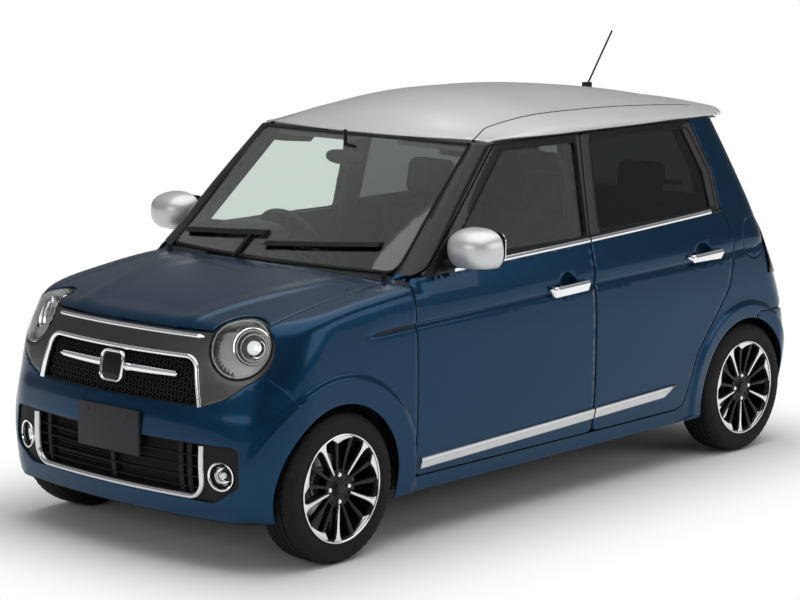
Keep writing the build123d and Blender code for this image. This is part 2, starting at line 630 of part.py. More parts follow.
tailgate = tailgate - front_prism(outline(REAR_GLASS, REAR_GLASS_R), aft(2350), aft(3100))
REAR_PLATE_Z = 782.0
REAR_PLATE_Y = 2846.0
REAR_PLATE_RIM = 8.0
plate_z0, plate_z1 = REAR_PLATE_Z - PLATE_H / 2, REAR_PLATE_Z + PLATE_H / 2
recess_x = PLATE_W / 2 + REAR_PLATE_RIM
tailgate = tailgate - box(-recess_x, recess_x, aft(REAR_PLATE_Y), aft(3100), plate_z0 - REAR_PLATE_RIM,
                          plate_z1 + REAR_PLATE_RIM)
tailgate = tailgate + box(-PLATE_W / 2, PLATE_W / 2, aft(REAR_PLATE_Y) - 56, aft(REAR_PLATE_Y), plate_z0,
                          plate_z1)
tailgate = tailgate - plate_holes(plate_z1 - 25.0, aft(REAR_PLATE_Y) - 20, aft(REAR_PLATE_Y) + 5)
write("tailgate", max(tailgate.solids(), key=lambda s: s.volume))

rear_glass = (upper_form(GLASS_SET) - upper_form(GLASS_SET + GLASS_T)) & front_prism(
    outline(REAR_GLASS, REAR_GLASS_R, -0.3), aft(2350), aft(3100))
write("glass_tailgate", rear_glass)

rear_bumper = (LOWER_0 - lower_form(BUMPER_T)) - REAR_ARCHES
rear_bumper = rear_bumper & box(-900, 900, aft(REAR_BUMPER_Y) + SEAM, aft(3100), 0, BUMPER_TOP_Z)
write("rear_bumper", max(rear_bumper.solids(), key=lambda s: s.volume))

lamp_x, lamp_z0, lamp_z1 = TAIL_LAMP
tail_lamp = (lower_form(1) - lower_form(BUMPER_T - SEAM)) & box(
    lamp_x + SEAM, 900, aft(TAIL_LAMP_Y) + SEAM, aft(3100), lamp_z0 + SEAM, lamp_z1 - SEAM)
write("tail_lamps", both(max(tail_lamp.solids(), key=lambda s: s.volume)))

lid_cylinder = Pos(0, aft(FUEL_LID_Y), FUEL_LID_Z) * Rot(0, 90, 0) * Cylinder(FUEL_LID_R - SHUT_GAP / 2, 2000)
fuel_lid = (half(LOWER_0, 0, BELT_Z) & lid_cylinder) - lower_form(DOOR_SKIN / 2)
write("fuel_lid", fuel_lid)

ANTENNA_Y = 2330.0
ANTENNA_TIP = (2503.0, 1782.0)
ANTENNA_ROOT_Z = 1552.0
ANTENNA_FOOT_R, ANTENNA_R = 22.0, 4.0
antenna_foot = Pos(0, aft(ANTENNA_Y), ANTENNA_ROOT_Z - 6) * Cylinder(ANTENNA_FOOT_R, 40) - roof_form(-0.3)
rod_dy = ANTENNA_TIP[0] - ANTENNA_Y
rod_dz = ANTENNA_TIP[1] - ANTENNA_ROOT_Z
rod = Pos(0, aft(ANTENNA_Y) + rod_dy / 2, ANTENNA_ROOT_Z + rod_dz / 2) * Plane(
    origin=(0, 0, 0), z_dir=(0, rod_dy, rod_dz)).location * Cylinder(ANTENNA_R, hypot(rod_dy, rod_dz))
antenna = antenna_foot + (rod - roof_form(-0.3))
write("antenna", max(antenna.solids(), key=lambda s: s.volume))


# ---- wheels, knuckles and axles --------------------------------------------------------------
SPOKES = 5
SPOKE_CLOCK = -30.0        # first thin spoke, degrees from the top
FACE_X = HALF_TRACK + 80.0
BARREL_X = HALF_TRACK - 78.0
BARREL_T = 9.0
FLANGE_R = 203.0
HUB_R = 62.0
DISC_R = 118.0
DRUM_R = 98.0
BRAKE_X = (597.0, 611.0)
STUB_R = 15.0
STUB_FIT = 0.05
STUB_END = HALF_TRACK + 8.0
KINGPIN_X = 575.0
LUG_PCD = 100.0
LUG_R = 6.0
LUGS = 4


def x_tube(x0, x1, r, bore=0.0):
    """A round piece along X about the hub's axis, at y = 0, z = 0."""
    piece = Pos((x0 + x1) / 2, 0, 0) * Rot(0, 90, 0) * Cylinder(r, x1 - x0)
    if bore:
        piece -= Pos((x0 + x1) / 2, 0, 0) * Rot(0, 90, 0) * Cylinder(bore, x1 - x0 + 2)
    return piece


def tyre():
    """165 mm wide, closed between its beads, on the bead seat."""
    w, r0, r1 = TYRE_WIDTH / 2, RIM_R + SEAM, TYRE_R
    side_r = (r0 + r1) / 2 + 5
    section = make_face([
        Line((w - 14, r0), (w - 14, r0 + 14)),
        ThreePointArc((w - 14, r0 + 14), (w, side_r), (w - 16, r1 - 9)),
        ThreePointArc((w - 16, r1 - 9), (w - 22, r1 - 2.5), (w - 32, r1)),
        Line((w - 32, r1), (-w + 32, r1)),
        ThreePointArc((-w + 32, r1), (-w + 22, r1 - 2.5), (-w + 16, r1 - 9)),
        ThreePointArc((-w + 16, r1 - 9), (-w, side_r), (-w + 14, r0 + 14)),
        Line((-w + 14, r0 + 14), (-w + 14, r0)),
        Line((-w + 14, r0), (w - 14, r0)),
    ])
    return Pos(HALF_TRACK, 0, 0) * revolve(section, Axis.X)


def spoke(angle, half_root, half_tip, x0, x1):
    """A bar from the hub to the barrel, wider or narrower at the barrel."""
    root, tip = HUB_R - 12, RIM_R - BARREL_T / 2
    corners = [(-half_root, root), (half_root, root), (half_tip, tip), (-half_tip, tip)]
    face = make_face(Polyline(*corners, close=True))
    bar = Pos(x0, 0, 0) * extrude(Plane.YZ * face, x1 - x0)
    return Rot(angle, 0, 0) * bar


def wheel_rim(rear):
    """Barrel with a lip each end, hub, five thin spokes and five split ones, and its brake."""
    rim = x_tube(BARREL_X, FACE_X - 2, RIM_R, RIM_R - BARREL_T)
    rim += x_tube(BARREL_X - 6, BARREL_X + 4, FLANGE_R - 4, RIM_R - BARREL_T)
    rim += x_tube(FACE_X - 8, FACE_X, FLANGE_R, RIM_R - BARREL_T)
    rim += x_tube(BRAKE_X[1] + 6, FACE_X - 10, HUB_R * 0.5) + x_tube(FACE_X - 44, FACE_X - 14, HUB_R)
    pitch = 360 / SPOKES
    for i in range(SPOKES):
        thin = SPOKE_CLOCK + pitch * i
        rim += spoke(thin, 13, 17, FACE_X - 34, FACE_X - 8)
        for side in (-1, 1):
            rim += spoke(thin + pitch / 2 + side * 13, 9, 12, FACE_X - 38, FACE_X - 14)
    if rear:
        rim += x_tube(BRAKE_X[0], BRAKE_X[1] + 30, DRUM_R)
    else:
        rim += x_tube(BRAKE_X[0], BRAKE_X[1], DISC_R) + x_tube(BRAKE_X[0], BRAKE_X[1] + 24, 55)
    for i in range(LUGS):
        rim += Rot(360 / LUGS * i, 0, 0) * Pos(0, 0, LUG_PCD / 2) * x_tube(FACE_X - 20, FACE_X - 6, LUG_R + 3)
    return rim - x_tube(BRAKE_X[0] - 1, STUB_END + 2, STUB_R + STUB_FIT)


HUB_PLACES = {"front": FRONT_AXLE_Y, "rear": REAR_AXLE_Y}
for end, y in HUB_PLACES.items():
    left = Pos(0, y, HUB_Z)
    write(f"tyre_{end}_left", left * tyre())
    write(f"tyre_{end}_right", mirror_x(left * tyre()))
    write(f"rim_{end}_left", left * wheel_rim(end == "rear"))
    write(f"rim_{end}_right", mirror_x(left * wheel_rim(end == "rear")))

LOWER_ARM_Z = (168.0, 190.0)
BALL_R = 12.0
KNUCKLE_Z = (200.0, 395.0)
STRUT_X = 520.0
STRUT_R = 26.0
STRUT_TOP_Z = 600.0


def knuckle():
    """Upright with the stub axle, the caliper behind the disc and the strut above."""
    upright = box(535, BRAKE_X[0] - 8, -34, 34, KNUCKLE_Z[0] - HUB_Z, KNUCKLE_Z[1] - HUB_Z)
    stub = x_tube(BRAKE_X[0] - 20, STUB_END, STUB_R)
    bracket = box(BRAKE_X[0] - 26, BRAKE_X[0] - 8, 20, 150, -34, 34)
    caliper = box(BRAKE_X[0] - 26, 648, DISC_R + 8, 152, -44, 44)
    strut = Pos(STRUT_X, 0, (340 + STRUT_TOP_Z) / 2 - HUB_Z) * Cylinder(STRUT_R, STRUT_TOP_Z - 340)
    return upright + stub + bracket + caliper + strut


left_knuckle = Pos(0, FRONT_AXLE_Y, HUB_Z) * knuckle()
write("knuckle_left", left_knuckle)
write("knuckle_right", mirror_x(left_knuckle))

DECK_Z = (420.0, 450.0)    # rear load floor
DECK_Y = 2060.0
BOARD_Y = (2430.0, 2760.0)  # load floor board on the deck
BOARD_T = 5.0
RAIL_X = (300.0, 355.0)
RAIL_Z = (290.0, 370.0)
ENGINE_X = 290.0
ENGINE_Y = (-225.0, 235.0)
ENGINE_Z = (245.0, 760.0)
FIREWALL = (384.0, 400.0)
engine = box(-ENGINE_X, ENGINE_X, aft(ENGINE_Y[0]), aft(ENGINE_Y[1]), *ENGINE_Z)
write("engine_block", fillet(engine.edges(), 25))

# Front subframe: a cross member under the engine, two lower arms with their ball pins, a rack.
cross = box(-360, 360, aft(60), aft(330), 195, ENGINE_Z[0] - SEAM)
legs = box(RAIL_X[0], RAIL_X[1], aft(240), aft(320), ENGINE_Z[0] - 2, RAIL_Z[0] - SEAM)
ARM_END_R = 16.0           # round end, inside the brake disc at full lock
lower_arm = make_face(Polyline((340, aft(-35)), (KINGPIN_X, aft(-ARM_END_R)), (KINGPIN_X, aft(ARM_END_R)),
                               (340, aft(210)), close=True))
lower_arm = plan_prism(lower_arm, *LOWER_ARM_Z) + box(320, 360, aft(60), aft(200), LOWER_ARM_Z[0], 200)
arm_end = Cylinder(ARM_END_R, LOWER_ARM_Z[1] - LOWER_ARM_Z[0])
lower_arm += Pos(KINGPIN_X, FRONT_AXLE_Y, (LOWER_ARM_Z[0] + LOWER_ARM_Z[1]) / 2) * arm_end
ball = Pos(KINGPIN_X, FRONT_AXLE_Y, (LOWER_ARM_Z[1] + KNUCKLE_Z[0]) / 2)
ball = ball * Cylinder(BALL_R, KNUCKLE_Z[0] - LOWER_ARM_Z[1] - 0.6)
left_arm = legs + lower_arm + ball
write("front_subframe", cross + left_arm + mirror_x(left_arm))

# Rear axle: a twist beam, two trailing arms with the stub axles, spring seats.
BEAM_Y = 2290.0
beam = Pos(0, aft(BEAM_Y), 290) * Rot(0, 90, 0) * Cylinder(34, 980)
trail = box(478, 530, aft(DECK_Y) + SEAM, aft(2570), 262, 318)
post = box(500, BRAKE_X[0] - 8, aft(2470), aft(2570), 245, 315)
stub = Pos(0, REAR_AXLE_Y, HUB_Z) * x_tube(BRAKE_X[0] - 20, STUB_END, STUB_R)
spring = Pos(450, aft(2400), 366) * Cylinder(48, 107) + box(420, 500, aft(2350), aft(2450), 280, 316)
left_trail = trail + post + stub + spring
write("rear_axle", beam + left_trail + mirror_x(left_trail))

# ---- floor, firewall, rear deck and wheelhouse linings ------------------------------------------
floor_core = lower_form(WALL_T + SEAM)
floor = floor_core & box(-900, 900, aft(FIREWALL[0]), aft(DECK_Y), FLOOR_Z, FLOOR_Z + FLOOR_T)
floor += floor_core & box(-900, 900, aft(FIREWALL[0]), aft(FIREWALL[1]), FLOOR_Z, 965)
floor += box(-590, 590, aft(DECK_Y) - 16, aft(DECK_Y), FLOOR_Z, DECK_Z[1])
deck_w = REAR_HOUSE_X - 15
HOUSE_Y = (2150.0, 2832.0)  # rear wheelhouse, front and rear
HOUSE_TOP_Z = 700.0
floor += box(-deck_w, deck_w, aft(DECK_Y) - 16, aft(HOUSE_Y[1]), *DECK_Z)
floor += box(35 - deck_w, deck_w - 35, aft(BOARD_Y[0]), aft(BOARD_Y[1]), DECK_Z[1], DECK_Z[1] + BOARD_T)
house = box(deck_w - 20, deck_w, aft(HOUSE_Y[0]), aft(HOUSE_Y[1]), DECK_Z[0], HOUSE_TOP_Z)
house += box(deck_w - 20, 630, aft(HOUSE_Y[0]), aft(HOUSE_Y[1]), HOUSE_TOP_Z - 20, HOUSE_TOP_Z)
house += box(deck_w - 20, 630, aft(HOUSE_Y[0]), aft(HOUSE_Y[0]) + 10, DECK_Z[0], HOUSE_TOP_Z)
floor += (house + mirror_x(house)) & floor_core
REAR_WALL_X = 349.0
rear_wall = lower_form(DOOR_T + SHUT_GAP) - lower_form(WALL_T)
rear_wall &= box(-REAR_WALL_X, REAR_WALL_X, aft(2500), aft(3100), DECK_Z[0], 604 + FLANGE)
floor += rear_wall
rear_valance = lower_form(BUMPER_T + 1) - lower_form(WALL_T)
rear_valance &= box(-REAR_WALL_X, REAR_WALL_X, aft(2500), aft(3100), 300, DECK_Z[0] + 10)
floor += rear_valance
rail = box(*RAIL_X, aft(-390), aft(FIREWALL[0]) + 2, *RAIL_Z)
LINER_T = 6.0
liner = Pos(0, FRONT_AXLE_Y, HUB_Z) * x_tube(HOUSE_X, 690, FRONT_ARCH_R + LINER_T, FRONT_ARCH_R)
liner &= box(0, 900, aft(-500), aft(500), HUB_Z + 30, 900)
apron = box(HOUSE_X - 12, HOUSE_X, aft(-150), aft(FIREWALL[0]) + 2, HUB_Z + 30, 880)
link = box(RAIL_X[1] - 2, HOUSE_X - 10, aft(-300), aft(-200), *RAIL_Z)
link += box(RAIL_X[1] - 2, HOUSE_X - 10, aft(240), aft(340), *RAIL_Z)
left_bay = (rail + liner + apron + link) & lower_form(LAMP_DEPTH + SEAM) & hood_cut(LAMP_DEPTH + SEAM)
front_beam = box(-400, 400, aft(-374), aft(-350), *RAIL_Z)
floor += left_bay + mirror_x(left_bay) + front_beam
cowl = box(-600, 600, aft(FIREWALL[0]) - 4, aft(455), 945, 970)
floor += cowl & floor_core
hood_pin = Pos(sum(HOOD_PIN_X) / 2, aft(HOOD_HINGE_Y), HOOD_HINGE_Z) * Rot(0, 90, 0)
hood_pin = hood_pin * Cylinder(HOOD_HINGE_R, HOOD_PIN_X[1] - HOOD_PIN_X[0])
hood_pin += box(*HOOD_PIN_X, aft(HOOD_HINGE_Y) - 3, aft(HOOD_HINGE_Y) + 3, 960, HOOD_HINGE_Z)
floor += hood_pin + mirror_x(hood_pin)
write("floor_pan", max(floor.solids(), key=lambda s: s.volume))

# ---- under the floor -----------------------------------------------------------------------------
tank = box(-330, 250, aft(1120), aft(1640), 150, FLOOR_Z - SEAM)
write("fuel_tank", fillet(tank.edges(), 12))
PIPE_R = 20.0
pipe_path = FilletPolyline((180, aft(150), 166), (300, aft(500), 164), (300, aft(2110), 164),
                           (250, aft(2350), 196), (150, aft(2620), 215), radius=60)
pipe = sweep(Plane(origin=pipe_path @ 0, z_dir=pipe_path % 0) * Circle(PIPE_R), path=pipe_path)
muffler = Pos(0, aft(2660), 250) * Rot(0, 90, 0) * Cylinder(75, 460)
tail_pipe = Pos(170, aft(2765), 235) * Rot(90, 0, 0) * Cylinder(22, 150)
hangers = box(-160, -140, aft(2655), aft(2665), 300, DECK_Z[0] - SEAM)
write("exhaust", pipe + muffler + tail_pipe + hangers + mirror_x(hangers))

# ---- cabin ---------------------------------------------------------------------------------------
FLOOR_TOP = FLOOR_Z + FLOOR_T
cabin_core = lower_form(WALL_T + 4)
dash = box(-640, 640, aft(FIREWALL[1]) + SEAM, aft(690), 690, 940)
dash = fillet(dash.edges().filter_by(Axis.X).group_by(Axis.Z)[-1], 60)
dash = dash & cabin_core
WHEEL_X, WHEEL_Y, WHEEL_Z = -335.0, 845.0, 955.0
WHEEL_R, WHEEL_GRIP_R = 180.0, 14.0
WHEEL_TILT = 27.0
column_place = Pos(WHEEL_X, aft(WHEEL_Y), WHEEL_Z) * Rot(WHEEL_TILT - 90, 0, 0)
column = column_place * Pos(0, 0, -137.3) * Cylinder(32, 206)
binnacle = box(WHEEL_X - 170, WHEEL_X + 170, aft(520), aft(660), 930, 985)
dash = dash + (column - box(-900, 900, aft(300), aft(600), 0, 2000)) + binnacle
console = box(-110, 110, aft(440), aft(690), FLOOR_TOP + 170, 700)
write("dashboard", dash + console)
grip = column_place * Torus(WHEEL_R, WHEEL_GRIP_R)
hub = column_place * Pos(0, 0, -12) * Cylinder(52, 44)
wheel = grip + hub
for angle in (0, 180, 270):
    wheel += column_place * Rot(0, 0, angle) * Pos(WHEEL_R / 2 + 10, 0, -4) * Box(WHEEL_R - 20, 34, 12)
write("steering_wheel", wheel)

SEAT_W = 500.0
SEAT_X = 322.0
SEAT_Z = 565.0


def seat(y, width, back_z, lean):
    """Base, cushion, back and head restraint in one, facing forward."""
    base = box(-width / 2 + 50, width / 2 - 50, aft(y), aft(y + 400), FLOOR_TOP + SEAM, SEAT_Z - 120)
    cushion = fillet(box(-width / 2, width / 2, aft(y - 60), aft(y + 460), SEAT_Z - 140, SEAT_Z).edges(), 40)
    back = fillet(Box(width, 120, back_z - SEAT_Z + 120).edges(), 40)
    back = Pos(0, aft(y + 455), (SEAT_Z - 90 + back_z) / 2) * Rot(-lean, 0, 0) * back
    return base + cushion + back


def head_rest(x, y, z):
    rest = fillet(Box(250, 90, 170).edges(), 35)
    posts = Pos(0, 0, -110) * Box(110, 14, 120)
    return Pos(x, aft(y), z) * Rot(-12, 0, 0) * (rest + posts)


front_seat = Pos(SEAT_X, 0, 0) * (seat(1130, SEAT_W, 1080, 14) + head_rest(0, 1668, 1195))
write("front_seats", both(front_seat))
rear_width = 1130.0
rear = box(-rear_width / 2 + 40, rear_width / 2 - 40, aft(1790), aft(2040), FLOOR_TOP + SEAM, SEAT_Z - 90)
rear += fillet(box(-rear_width / 2, rear_width / 2, aft(1740), aft(2140), SEAT_Z - 110, SEAT_Z).edges(), 40)
rear += box(-480, 480, aft(2080), aft(2235), SEAT_Z - 105, SEAT_Z - 10)
rear_back = fillet(Box(1000, 110, 560).edges(), 40)
rear += Pos(0, aft(2255), 800) * Rot(-14, 0, 0) * rear_back
for x in (-290, 290):
    rear += head_rest(x, 2352, 1175)
write("rear_seat", rear)
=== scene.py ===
import bpy, bmesh, json
import numpy as np
from math import radians, sin, cos, tan, atan2, pi
from mathutils import Vector, Matrix
from mathutils.geometry import delaunay_2d_cdt

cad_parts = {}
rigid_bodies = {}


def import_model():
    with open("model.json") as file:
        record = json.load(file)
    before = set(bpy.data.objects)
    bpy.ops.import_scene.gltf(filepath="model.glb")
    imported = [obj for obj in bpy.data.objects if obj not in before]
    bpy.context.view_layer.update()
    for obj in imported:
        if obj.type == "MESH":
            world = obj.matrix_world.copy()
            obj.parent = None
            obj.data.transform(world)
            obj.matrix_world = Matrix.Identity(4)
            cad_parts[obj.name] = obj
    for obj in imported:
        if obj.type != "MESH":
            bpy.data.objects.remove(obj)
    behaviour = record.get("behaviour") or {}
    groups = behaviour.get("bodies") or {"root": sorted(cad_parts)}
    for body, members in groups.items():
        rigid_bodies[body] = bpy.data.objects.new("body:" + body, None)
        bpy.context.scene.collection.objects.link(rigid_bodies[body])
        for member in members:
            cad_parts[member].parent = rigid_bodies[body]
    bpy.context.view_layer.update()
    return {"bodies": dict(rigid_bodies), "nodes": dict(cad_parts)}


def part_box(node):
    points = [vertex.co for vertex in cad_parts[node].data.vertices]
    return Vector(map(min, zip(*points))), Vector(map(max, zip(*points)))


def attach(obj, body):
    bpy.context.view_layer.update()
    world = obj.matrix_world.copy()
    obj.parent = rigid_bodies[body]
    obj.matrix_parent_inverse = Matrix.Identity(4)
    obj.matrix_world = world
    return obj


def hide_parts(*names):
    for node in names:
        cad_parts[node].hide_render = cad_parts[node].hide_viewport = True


for left_over in list(bpy.data.objects):
    bpy.data.objects.remove(left_over)
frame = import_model()
bpy.ops.object.select_all(action="DESELECT")

# A light four-door hatchback: blue body, silver roof, black glasshouse, bright trim.
# Metres, nose towards -Y, +X is the car's left side. "Aft" values are measured from the front axle.
FRONT_AXLE = -1.2325
REAR_AXLE = 1.2875
HUB_Z = 0.280
DRIP_Z = 1.453
BELT_Z = 1.040


# ---- camera and studio -----------------------------------------------------------------------
def node_of(nt, kind, **values):
    """A new shader node with some of its inputs set; a space in an input's name is written _."""
    node = nt.nodes.new(f"ShaderNode{kind}")
    for name, value in values.items():
        node.inputs[name.replace("_", " ")].default_value = value
    return node


def wire(nt, *pairs):
    """Link (output, input) pairs."""
    for output, into in pairs:
        nt.links.new(output, into)


def studio_air():
    """White backdrop for the camera; everything else is lit by a dimmer sky."""
    world = bpy.data.worlds.new("studio_air")
    world.use_nodes = True
    nt = world.node_tree
    nt.nodes.clear()
    lit = node_of(nt, "Background", Strength=0.42)
    seen = node_of(nt, "Background", Color=(1, 1, 1, 1), Strength=1.0)
    split, shade, mix = node_of(nt, "SeparateXYZ"), node_of(nt, "ValToRGB"), node_of(nt, "MixShader")
    low, high = shade.color_ramp.elements
    low.position, low.color = 0.0, (0.30, 0.31, 0.33, 1)
    high.position, high.color = 0.75, (0.85, 0.87, 0.90, 1)
    path = node_of(nt, "LightPath")
    either = math(nt, "MAXIMUM", path.outputs["Is Camera Ray"], path.outputs["Is Transmission Ray"])
    wire(nt, (node_of(nt, "TexCoord").outputs["Generated"], split.inputs[0]),
         (split.outputs["Z"], shade.inputs["Fac"]), (shade.outputs["Color"], lit.inputs["Color"]),
         (either, mix.inputs["Fac"]), (lit.outputs[0], mix.inputs[1]), (seen.outputs[0], mix.inputs[2]),
         (mix.outputs[0], node_of(nt, "OutputWorld").inputs[0]))
    return world


def studio():
    """Camera, pale floor and soft lamps."""
    scene = bpy.context.scene
    data = bpy.data.cameras.new("camera")
    data.lens, data.sensor_width = 117.2, 36.0
    data.clip_end = 60.0
    cam = bpy.data.objects.new("camera", data)
    az, el, roll = radians(42.2126), radians(9.4676), radians(0.053)
    back = Vector((sin(az) * cos(el), -cos(az) * cos(el), sin(el)))
    turn = back.to_track_quat("Z", "Y").to_matrix().to_4x4() @ Matrix.Rotation(roll, 4, "Z")
    cam.matrix_world = Matrix.Translation((7.039, -7.876, 2.498)) @ turn
    scene.collection.objects.link(cam)
    scene.camera = cam
    scene.view_settings.view_transform = "Standard"

    bpy.ops.mesh.primitive_plane_add(size=60.0, location=(0, 0, 0))
    floor = bpy.context.object
    floor.name = "studio_floor"
    floor.data.materials.append(floor_finish())
    scene.world = studio_air()
    for name, place, aim, size, watts in (("top_box", (0.6, 0.2, 5.6), (0, 0, 0.8), (8.0, 7.0), 250),
                                          ("side_box", (6.4, 2.6, 2.6), (0.4, 0.6, 0.8), (5.5, 2.4), 80),
                                          ("front_box", (0.6, -7.0, 2.6), (0, -1.2, 0.6), (5.0, 1.8), 60)):
        light = bpy.data.lights.new(name, "AREA")
        light.shape, light.energy = "RECTANGLE", watts
        light.size, light.size_y = size
        turn = (Vector(place) - Vector(aim)).to_track_quat("Z", "Y").to_matrix().to_4x4()
        box = bpy.data.objects.new(name, light)
        box.matrix_world = Matrix.Translation(place) @ turn
        scene.collection.objects.link(box)


# ---- finishes --------------------------------------------------------------------------------
def shader(name, base, rough=0.5, metal=0.0, coat=0.0, coat_rough=0.03, ior=1.5, specular=0.18):
    """A material with its Principled shader's own values set; returns material, tree and shader."""
    mat = bpy.data.materials.new(name)
    mat.use_nodes = True
    mat.diffuse_color = (*base, 1)
    bsdf = mat.node_tree.nodes["Principled BSDF"]
    for key, value in (("Base Color", (*base, 1)), ("Roughness", rough), ("Metallic", metal),
                       ("Coat Weight", coat), ("Coat Roughness", coat_rough), ("IOR", ior),
                       ("Specular IOR Level", specular)):
        bsdf.inputs[key].default_value = value
    return mat, mat.node_tree, bsdf


def group_of(name, inputs, outputs):
    """An empty shader group with float inputs {name: default} and outputs {name: socket kind}."""
    grp = bpy.data.node_groups.new(name, "ShaderNodeTree")
    for key, value in inputs.items():
        kind = "NodeSocketColor" if isinstance(value, tuple) else "NodeSocketFloat"
        sock = grp.interface.new_socket(name=key, in_out="INPUT", socket_type=kind)
        sock.default_value = value
    for key, kind in outputs.items():
        grp.interface.new_socket(name=key, in_out="OUTPUT", socket_type=kind)
    return grp, grp.nodes.new("NodeGroupInput"), grp.nodes.new("NodeGroupOutput")


def math(nt, op, a, b=None, c=None):
    """A Math node; sockets are linked and numbers set."""
    node = nt.nodes.new("ShaderNodeMath")
    node.operation = op
    for i, v in enumerate((a, b, c)):
        if v is None:
            continue
        if isinstance(v, (int, float)):
            node.inputs[i].default_value = v
        else:
            nt.links.new(v, node.inputs[i])
    return node.outputs[0]


def tint_group():
    """Colour that drifts a little over a surface, with finer speckle."""
    grp, gi, go = group_of("surface_drift", {"Colour": (0.5, 0.5, 0.5, 1.0), "Scale": 3.0, "Amount": 0.08,
                                             "Speckle": 0.04}, {"Colour": "NodeSocketColor",
                                                                "Value": "NodeSocketFloat"})
    place = node_of(grp, "TexCoord").outputs["Object"]
    wide, fine = node_of(grp, "TexNoise", Detail=3.0), node_of(grp, "TexNoise", Scale=900.0)
    parts = [math(grp, "MULTIPLY", math(grp, "SUBTRACT", noise.outputs["Fac"], 0.5), gi.outputs[amount])
             for noise, amount in ((wide, "Amount"), (fine, "Speckle"))]
    value = math(grp, "ADD", math(grp, "ADD", *parts), 1.0)
    hsv = node_of(grp, "HueSaturation")
    wire(grp, (place, wide.inputs["Vector"]), (place, fine.inputs["Vector"]),
         (gi.outputs["Scale"], wide.inputs["Scale"]), (gi.outputs["Colour"], hsv.inputs["Color"]),
         (value, hsv.inputs["Value"]), (hsv.outputs["Color"], go.inputs["Colour"]), (value, go.inputs["Value"]))
    return grp


def relief_group(name, other, distance, texture, **inputs):
    """A group with a bump and one more output: texture(grp, gi, place) returns (height, value)."""
    grp, gi, go = group_of(name, inputs, {"Normal": "NodeSocketVector", other: "NodeSocketFloat"})
    height, value = texture(grp, gi, node_of(grp, "TexCoord").outputs["Object"])
    relief = node_of(grp, "Bump", Distance=distance)
    wire(grp, (gi.outputs["Strength"], relief.inputs["Strength"]), (height, relief.inputs["Height"]),
         (relief.outputs["Normal"], go.inputs["Normal"]), (value, go.inputs[other]))
    return grp


def scaled(grp, gi, place, kind, **values):
    """A texture laid by the piece's own coordinates at the group's scale."""
    node = node_of(grp, kind, **values)
    wire(grp, (place, node.inputs["Vector"]), (gi.outputs["Scale"], node.inputs["Scale"]))
    return node


def flakes(grp, gi, place):
    """Tiny flakes in the paint: each cell leans its own way."""
    split = node_of(grp, "SeparateColor")
    wire(grp, (scaled(grp, gi, place, "TexVoronoi").outputs["Color"], split.inputs[0]))
    return split.outputs[0], split.outputs[1]


def grain(grp, gi, place):
    """Grain of moulded plastic, rubber and metal, with its own change of roughness."""
    noise = scaled(grp, gi, place, "TexNoise", Detail=4.0).outputs["Fac"]
    rough = math(grp, "MULTIPLY_ADD", math(grp, "SUBTRACT", noise, 0.5), gi.outputs["Spread"],
                 gi.outputs["Roughness"])
    return noise, rough


GROUP_MAKERS = {"drift": tint_group,
                "flake": lambda: relief_group("paint_flake", "Mask", 0.0004, flakes, Scale=1400.0, Strength=0.12),
                "grain": lambda: relief_group("moulded_grain", "Roughness", 0.0006, grain, Scale=500.0,
                                              Strength=0.2, Roughness=0.6, Spread=0.15)}


GROUPS = {}


def place_group(nt, key, **values):
    """Put a shared group in a material with its own values."""
    if key not in GROUPS:
        GROUPS[key] = GROUP_MAKERS[key]()
    node = nt.nodes.new("ShaderNodeGroup")
    node.node_tree = GROUPS[key]
    for name, value in values.items():
        node.inputs[name].default_value = value
    return node


def finished(made, base, scale, drift, speckle, relief=None, **values):
    """Give a material a drifting tint and the relief of a shared group."""
    mat, nt, bsdf = made
    tint = place_group(nt, "drift", Colour=(*base, 1), Scale=scale, Amount=drift, Speckle=speckle)
    nt.links.new(tint.outputs["Colour"], bsdf.inputs["Base Color"])
    if relief:
        for output in place_group(nt, relief, **values).outputs:
            if output.name in bsdf.inputs:
                nt.links.new(output, bsdf.inputs[output.name])
    return mat


def painted(name, base, metal, rough, coat=1.0, flake=0.12, drift=0.05):
    """Clear-coated paint with flakes."""
    return finished(shader(name, base, rough, metal, coat, 0.02), base, 2.5, drift, 0.10, "flake", Strength=flake)


def moulded(name, base, rough, scale=500.0, strength=0.2, coat=0.0, drift=0.12):
    """Plastic or rubber with grain."""
    return finished(shader(name, base, rough, 0.0, coat, 0.05), base, 6.0, drift, 0.08, "grain", Scale=scale,
                    Strength=strength, Roughness=rough)


def metal(name, base, rough, scale=300.0, strength=0.03, drift=0.06):
    """Bare, plated or cast metal."""
    return finished(shader(name, base, rough, 1.0), base, 8.0, drift, 0.03, "grain", Scale=scale,
                    Strength=strength, Roughness=rough, Spread=0.08)


def glazing(name, tint, rough=0.0, ior=1.45):
    """Clear or dark glass, with a trace of unevenness in its tint."""
    made = shader(name, tint, rough, 0.0, ior=ior, specular=0.5)
    made[2].inputs["Transmission Weight"].default_value = 1.0
    return finished(made, tint, 1.5, 0.05, 0.0)


